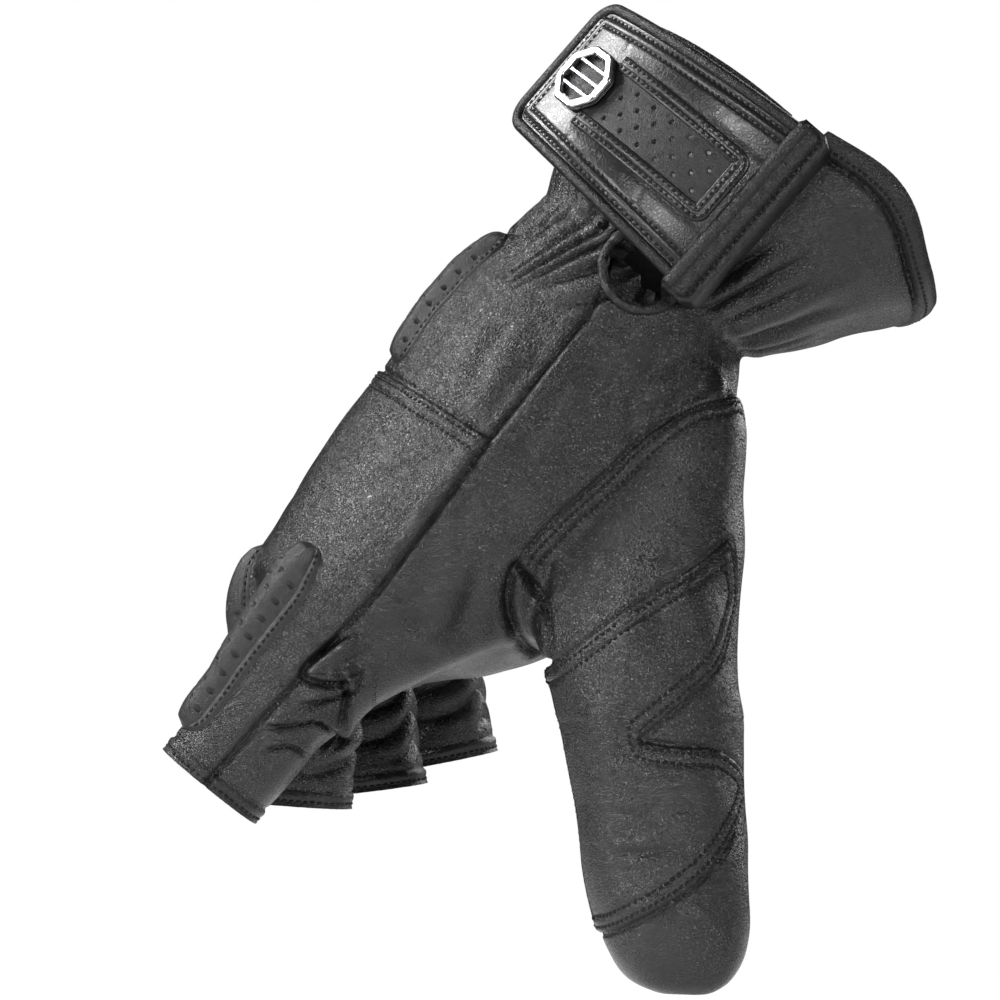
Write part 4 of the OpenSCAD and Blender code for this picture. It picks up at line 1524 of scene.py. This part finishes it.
def vent_parts(skin):
    """The rolled edge of the keyhole and the puckered leather just inside it."""
    count, blur = 140, 17
    turn = full_turn(count)

    def ring(radius, depth):
        return np.column_stack([VENT[0] + radius * np.cos(turn), depth, VENT[2] + radius * np.sin(turn)])

    rim = skin.hit(ring(VENT_RADIUS + 0.5, np.full(count, -80.0)), -np.tile(THUMB_SIDE, (count, 1)))
    sound = rim[:, 1] < np.median(rim[:, 1]) + 5
    level = np.interp(turn, turn[sound], rim[sound, 1], period=2 * math.pi)
    depth = np.concatenate([level, level, level])
    depth = np.convolve(depth, np.ones(blur) / blur, "same")[count : 2 * count]
    outward = np.tile(THUMB_SIDE, (count, 1))
    size = 1 + 0.08 * np.sin(turn * 9) + 0.06 * np.sin(turn * 17 + 1)
    section = round_section(1.15, 1.25)
    tube = swept("vent_rolled_piping", ring(VENT_RADIUS, depth - 0.1), outward, section, True, size)
    finished(tube, "hand", "binding_leather", "vent_piping")
    steps = np.linspace(0, 1, 14)
    inner_radius = 4.2 + 1.3 * np.cos(3 * (turn - 0.6))
    inner_radius += 0.35 * np.sin(5 * turn) + 0.25 * np.sin(9 * turn + 1)
    shift = np.array([1.6, 0, 0.6])
    grid = np.empty((len(turn) + 1, len(steps), 3))
    back = np.empty_like(grid)
    for k, t in enumerate(steps):
        r = (VENT_RADIUS - 0.2) * (1 - t) + inner_radius * t
        pucker = 0.55 * t * np.sin(turn * 7 + 2 * t) + 0.4 * np.sin(turn * 11 + 1.3) * t
        y = depth + 1.3 + 2.4 * t**0.7 + pucker
        row = ring(r, y) + shift * t
        grid[:-1, k], grid[-1, k] = row, row[0]
        back[:, k] = grid[:, k] + np.array([0, 1.1, 0])
    ledge = thick_sheet("vent_ledge", grid, back)
    finished(ledge, "hand", "binding_leather")


def laid_patch(skin, name, origins, ways, profile, thick):
    """Solid laid on the skin where rays meet it: profile is its height at each grid point."""
    rows, cols = origins.shape[:2]
    place = skin.hit(origins.reshape(-1, 3), ways.reshape(-1, 3)).reshape(rows, cols, 3)
    return thick_sheet(name, place + profile[..., None] * ways, place - thick * ways)


def hand_reach(s, angle):
    """Middle of the hand and the step from it to its plain surface, at distances and angles in degrees."""
    middle, half_up, half_side = np.moveaxis(smooth(s, HAND), -1, 0)
    c, n = squared_turn(np.radians(angle))
    reach = (half_up * c)[..., None] * UP + (half_side * n)[..., None] * THUMB_SIDE
    return WRIST + s[..., None] * ALONG + middle[..., None] * UP, reach


def hand_rays(s, angle):
    origin, reach = hand_reach(s, angle)
    return origin, unit(reach)


def palm_pad(skin):
    """Padded patch on the heel of the palm, square with round corners, and its row of stitches."""
    distance, angle, half_long, half_turn = 32.5, 219, 16.5, 19

    def rays(u, v):
        return hand_rays(distance + half_long * u, angle + half_turn * v)

    u, v = np.meshgrid(np.linspace(-1, 1, 60), np.linspace(-1, 1, 60), indexing="ij")
    edge = 1 - (np.abs(u) ** 4 + np.abs(v) ** 4) ** 0.25
    height = 0.5 + 2.6 * ease(edge, 0.0, 0.55) - 0.5 * bell(edge - 0.1, 0.05)
    shrink = 1 / np.maximum((np.abs(u) ** 5 + np.abs(v) ** 5) ** 0.2, 1)
    piece = laid_patch(skin, "palm_heel_patch", *rays(u * shrink, v * shrink), height, 0.5)
    finished(piece, "hand", "black_leather", "palm_patch")
    t = np.linspace(0, 2 * math.pi, 200)
    r = 0.9 / (np.abs(np.cos(t)) ** 5 + np.abs(np.sin(t)) ** 5) ** 0.2
    origin, way = rays(r * np.cos(t), r * np.sin(t))
    row = (skin.hit(origin, way) + 1.0 * way, skin.outward, 0)
    finished(stitch_mesh("palm_patch_stitches", [row], seed=8), "hand", "black_leather")


def loop_pad(skin):
    f, a = np.meshgrid(np.linspace(0.40, 0.82, 40), np.linspace(50, 76, 44), indexing="ij")
    reach = f * cuff_reach(a)
    half_up = cuff_half_up(np.minimum(reach, 1))
    tilt = np.radians(cuff_tilt(np.minimum(reach, 1)))
    up = np.stack([-np.sin(tilt), 0 * tilt, np.cos(tilt)], -1)
    origin = (1 - reach)[..., None] * WRIST
    turn = np.radians(a)[..., None]
    way = unit(np.cos(turn) * half_up[..., None] * up + CUFF_HALF_SIDE * np.sin(turn) * THUMB_SIDE)
    rng = np.random.default_rng(11)
    height = 0.55 + 0.12 * rng.random(f.shape)
    piece = laid_patch(skin, "cuff_loop_patch", origin, way, height, 0.4)
    finished(piece, "hand", "loop_tape", "loop_patch")


def inner_elastic():
    s, a = np.meshgrid(np.linspace(2.5, 14, 30), np.linspace(-62, 62, 160), indexing="ij")
    origin, reach = hand_reach(s, a)
    shell, way = origin + reach, unit(reach)
    pleat = 0.35 * np.abs(np.sin(a * 0.9))
    outer = shell - 3.9 * way
    inner = shell - (4.9 + pleat)[..., None] * way
    piece = thick_sheet("wrist_elastic_band", outer, inner)
    finished(piece, "hand", "lining_fabric", "wrist_elastic")


# ---------------------------------------------------------------- padded ribs

RIB_PROFILE = [  # distance from the rib's middle line and height
    (0.0, 3.15), (1.2, 3.1), (2.0, 2.85), (2.6, 2.35), (3.6, 1.4), (4.5, 0.55), (4.85, 0.28), (5.2, 0.75),
    (5.9, 0.8), (6.6, 0.62), (7.0, 0.25), (7.2, -0.2),
]
RIB_HALF_WIDTH, RIB_STEP, RIB_EDGE_ROW = 7.2, 0.24, 6.1
HOLE_PITCH, HOLES_FROM = 4.6, 6
HOLE_ROWS = ((0, -1.05), (0.5, 1.05), (0.25, -3.45), (0.75, 3.45))  # parts of a pitch along, place across


def rib_piece(skin, name, centres, ups, sides, radius, where, node, high=1.0):
    """Padded rib with real perforations, laid along centres with outward and sideways directions."""
    walked = walked_along(centres)
    total = walked[-1]
    along = np.arange(0, total, RIB_STEP)
    across = np.arange(-RIB_HALF_WIDTH, RIB_HALF_WIDTH + 0.01, RIB_STEP)
    c = rows_at(along, walked, centres)
    u, w = unit(rows_at(along, walked, ups)), unit(rows_at(along, walked, sides))
    a, b = np.meshgrid(along, across, indexing="ij")
    end = np.minimum(a, total - a)
    point = np.clip(np.minimum(a / 16, (total - a) / 6), 0, 1)
    narrow = np.sqrt(np.clip(1 - (1 - point) ** 2, 0.0, 1))
    b2 = b * (0.2 + 0.8 * narrow)
    theta = b2 / radius
    way = np.cos(theta)[..., None] * u[:, None] + np.sin(theta)[..., None] * w[:, None]
    height = np.interp(np.abs(b), *np.array(RIB_PROFILE).T) * high
    height = np.where(height > 0.8, 0.8 + (height - 0.8) * narrow, height)
    height = height * ease(end, -0.4, 1.6) - 0.15 * (end < 0.2)
    for k in range(int((total - 9) / HOLE_PITCH)):
        for shift, y in HOLE_ROWS:
            x = HOLES_FROM + (k + shift) * HOLE_PITCH
            height -= 0.8 * (1 - ease(np.hypot(a - x, b2 - y), 0.3, 0.56))
    inside_hand = np.repeat(c[:, None], len(across), 1).reshape(-1, 3)
    base = skin.hit(inside_hand, way.reshape(-1, 3), 40).reshape(*a.shape, 3)
    flat = np.einsum("ijk,ijk->ij", base - c[:, None], way)
    for _ in range(40):
        flat[1:-1] = (flat[:-2] + flat[1:-1] + flat[2:]) / 3
        flat[:, 1:-1] = (flat[:, :-2] + flat[:, 1:-1] + flat[:, 2:]) / 3
    flat = np.minimum(flat, np.median(flat, axis=0) + 3)
    ground = c[:, None] + flat[..., None] * way
    outer, inner = ground + height[..., None] * way, ground - 0.6 * way
    piece = thick_sheet(name, outer, inner)
    finished(piece, where, "perforated_leather", node)
    rows = []
    for side in (-1, 1):
        col = np.argmin(np.abs(across - side * RIB_EDGE_ROW))
        rows.append((outer[4:-4, col], skin.outward, 0.03))
    finished(stitch_mesh(name + "_stitches", rows, seed=len(name)), where, "perforated_leather")


def finger_rib(skin, i):
    k, d, up = KNUCKLES[i], FINGER_DIRS[i], FINGER_UPS[i]
    l = np.linspace((-6, -3, 0, 1)[i], FINGER_LENGTHS[i] - 6.2, 60)
    bent = ease(l, -6, 8)
    ups = unit((1 - bent)[:, None] * UP + bent[:, None] * up)
    centres = k + np.where(l < 0, l, 0)[:, None] * ALONG + np.where(l > 0, l, 0)[:, None] * d
    lean = math.radians(14 if i == 0 else 0)
    sides = np.tile(THUMB_SIDE, (len(l), 1))
    ups2 = math.cos(lean) * ups + math.sin(lean) * sides
    sides2 = math.cos(lean) * sides - math.sin(lean) * ups
    high = 1.0 if i == 0 else 0.8
    rib_piece(skin, FINGERS[i] + "_rib_padding", centres, ups2, sides2, 12.5, i, FINGERS[i] + "_rib", high)


def hand_rib(skin, name, angle):
    s = np.linspace(11.5, 48.5, 60)
    origin, way = hand_rays(s, np.full(60, angle))
    surface = skin.hit(origin, way)
    centres = surface - 38 * way
    side = unit(np.cross(ALONG, way))
    side = side * np.sign(side @ THUMB_SIDE)[:, None]
    rib_piece(skin, name + "_padding", centres, way, side, 38, "hand", name)


# ---------------------------------------------------------------- the whole glove


def skin_parts(skin):
    thumb_nodes = ("thumb_base_back", "thumb_base_front", "thumb_front", "thumb_tip")
    overlay_nodes = ("thumb_overlay", "thumb_back")
    rows = [
        ("hand_back_leather", HAND_BACK, LEATHER, "black_leather", "hand", ("hand_back",)),
        ("knuckle_leather", KNUCKLE, LEATHER, "black_leather", "hand", ("knuckle_panel",)),
        ("palm_leather", PALM, LEATHER, "black_leather", "hand", ("palm_panel",)),
        ("cuff_back_leather", CUFF_BACK, LEATHER, "black_leather", "hand", ("cuff_back",)),
        ("cuff_palm_leather", CUFF_PALM, LEATHER, "black_leather", "hand", ("cuff_palm",)),
        ("cuff_binding_back_leather", BIND_BACK, FOLDED, "binding_leather", "hand", ("cuff_binding_back",)),
        ("cuff_binding_palm_leather", BIND_PALM, FOLDED, "binding_leather", "hand", ("cuff_binding_palm",)),
        ("thumb_gusset_leather", GUSSET, LEATHER, "black_leather", "hand", ("thumb_gusset",)),
        ("thumb_leather", THUMB, LEATHER, "black_leather", "thumb_bend", thumb_nodes),
        ("thumb_overlay_leather", OVERLAY, LEATHER, "black_leather", "thumb_bend", overlay_nodes),
    ]
    for i, f in enumerate(FINGERS):
        sleeve_nodes = (f + "_back", f + "_front", f + "_sides")
        rows.append((f + "_sleeve", SLEEVE + i, LEATHER, "black_leather", i, sleeve_nodes))
        rows.append((f + "_hem_leather", HEM + i, HEMMED, "binding_leather", i, (f + "_hem",)))
    for name, part, thick, slot, where, nodes in rows:
        finished(solid_part(skin, name, part, thick, slot), where, slot, *nodes)


def seam_thread(skin):
    thumb_seam = [(THUMB, PALM), (OVERLAY, PALM)]
    rows = [
        ("cross_seam_stitches", [(KNUCKLE, HAND_BACK)], CROSS_ROWS, "hand", "black_leather", 21),
        ("thumb_seam_stitches", thumb_seam, THUMB_SEAM_ROWS, "thumb_bend", "black_leather", 22),
        ("overlay_stitches", [(OVERLAY, THUMB)], OVERLAY_ROWS, "thumb_bend", "black_leather", 23),
        ("cuff_palm_stitches", [(BIND_PALM, CUFF_PALM)], RIM_ROWS, "hand", "binding_leather", 24),
        ("cuff_back_stitches", [(BIND_BACK, CUFF_BACK)], RIM_ROWS, "hand", "binding_leather", 25),
    ]
    for i, f in enumerate(FINGERS):
        rows.append((f + "_hem_stitches", [(HEM + i, SLEEVE + i)], HEM_ROWS, i, "binding_leather", 30 + i))
    for name, pairs, offsets, where, slot, seed in rows:
        lines = [row_beside(c, o) for c in skin.seam_chains(pairs) for o in offsets]
        finished(stitch_mesh(name, skin_rows(skin, lines), seed=seed), where, slot)


def studio():
    for old in ("Cube", "Light", "Camera"):
        if old in bpy.data.objects:
            bpy.data.objects.remove(bpy.data.objects[old])
    world = bpy.context.scene.world or bpy.data.worlds.new("studio")
    bpy.context.scene.world = world
    world.use_nodes = True
    tree = world.node_tree
    glow = tree.nodes["Background"]
    glow.inputs[0].default_value = (1, 1, 1, 1)
    seen = tree.nodes.new("ShaderNodeLightPath")
    level = tree.nodes.new("ShaderNodeMapRange")
    level.inputs["To Min"].default_value, level.inputs["To Max"].default_value = 0.07, 1.0
    tree.links.new(seen.outputs["Is Camera Ray"], level.inputs["Value"])
    tree.links.new(level.outputs["Result"], glow.inputs[1])
    lo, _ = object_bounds()
    n = Nodes("floor_paper")
    tone = n.spread(n.noise(8, 3), 0.3, 0.7, 0.86, 0.9)
    n.done(Base_Color=n.mix(tone, (0.86, 0.86, 0.86), (0.92, 0.92, 0.92)), Roughness=0.9)
    size, z = 0.34, lo[2] - 0.03
    mesh = bpy.data.meshes.new("floor")
    corners = [(x * size, y * size, z) for x, y in ((-1, -1), (1, -1), (1, 1), (-1, 1))]
    mesh.from_pydata(corners, [], [(0, 1, 2, 3)])
    mesh.materials.append(n.material)
    floor = placed("floor", mesh)
    floor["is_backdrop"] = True
    target = Vector((-0.055, -0.03, -0.075))
    for name, place, size, power in (
        ("key_light", (-0.85, 0.12, 0.74), 0.42, 15.5),
        ("left_light", (-1.05, -0.60, 0.05), 0.3, 6.0),
        ("front_light", (-0.30, -1.05, 0.35), 0.13, 5.0),
        ("side_light", (0.75, -0.80, 0.05), 0.22, 4.5),
        ("rim_light", (0.5, 0.7, 0.3), 0.5, 5.0),
    ):
        light = bpy.data.lights.new(name, "AREA")
        light.shape, light.size, light.energy = "SQUARE", size, power
        obj = placed(name, light)
        obj.location = place
        obj.rotation_euler = (target - Vector(place)).to_track_quat("-Z", "Y").to_euler()


def camera():
    cam = bpy.data.cameras.new("camera")
    cam.sensor_width, cam.lens = 36, 206
    obj = placed("camera", cam)
    target = Vector((-0.0563, -0.03, -0.071))
    obj.location = target + Vector((0, -1.2, 0))
    obj.rotation_euler = (math.radians(90), 0, 0)
    bpy.context.scene.camera = obj
    bpy.context.scene.view_settings.view_transform = "Standard"


def build():
    make_looks()
    skin = Skin()
    skin_parts(skin)
    seam_thread(skin)
    strap_body()
    strap_edge_band()
    welt_line = strap_perforated()
    strap_thread(welt_line)
    hook_pad()
    badge_piece()
    pins = bpy.data.objects.get("badge_prongs")
    if pins:
        pins.data.materials.clear()
        pins.data.materials.append(LOOKS["badge_pins"])
    strap_welt(skin)
    vent_parts(skin)
    palm_pad(skin)
    loop_pad(skin)
    inner_elastic()
    for i in range(4):
        finger_rib(skin, i)
    hand_rib(skin, "hand_rib_thumb_side", 14.0)
    hand_rib(skin, "hand_rib_little_side", -30.0)


build()
studio()
camera()
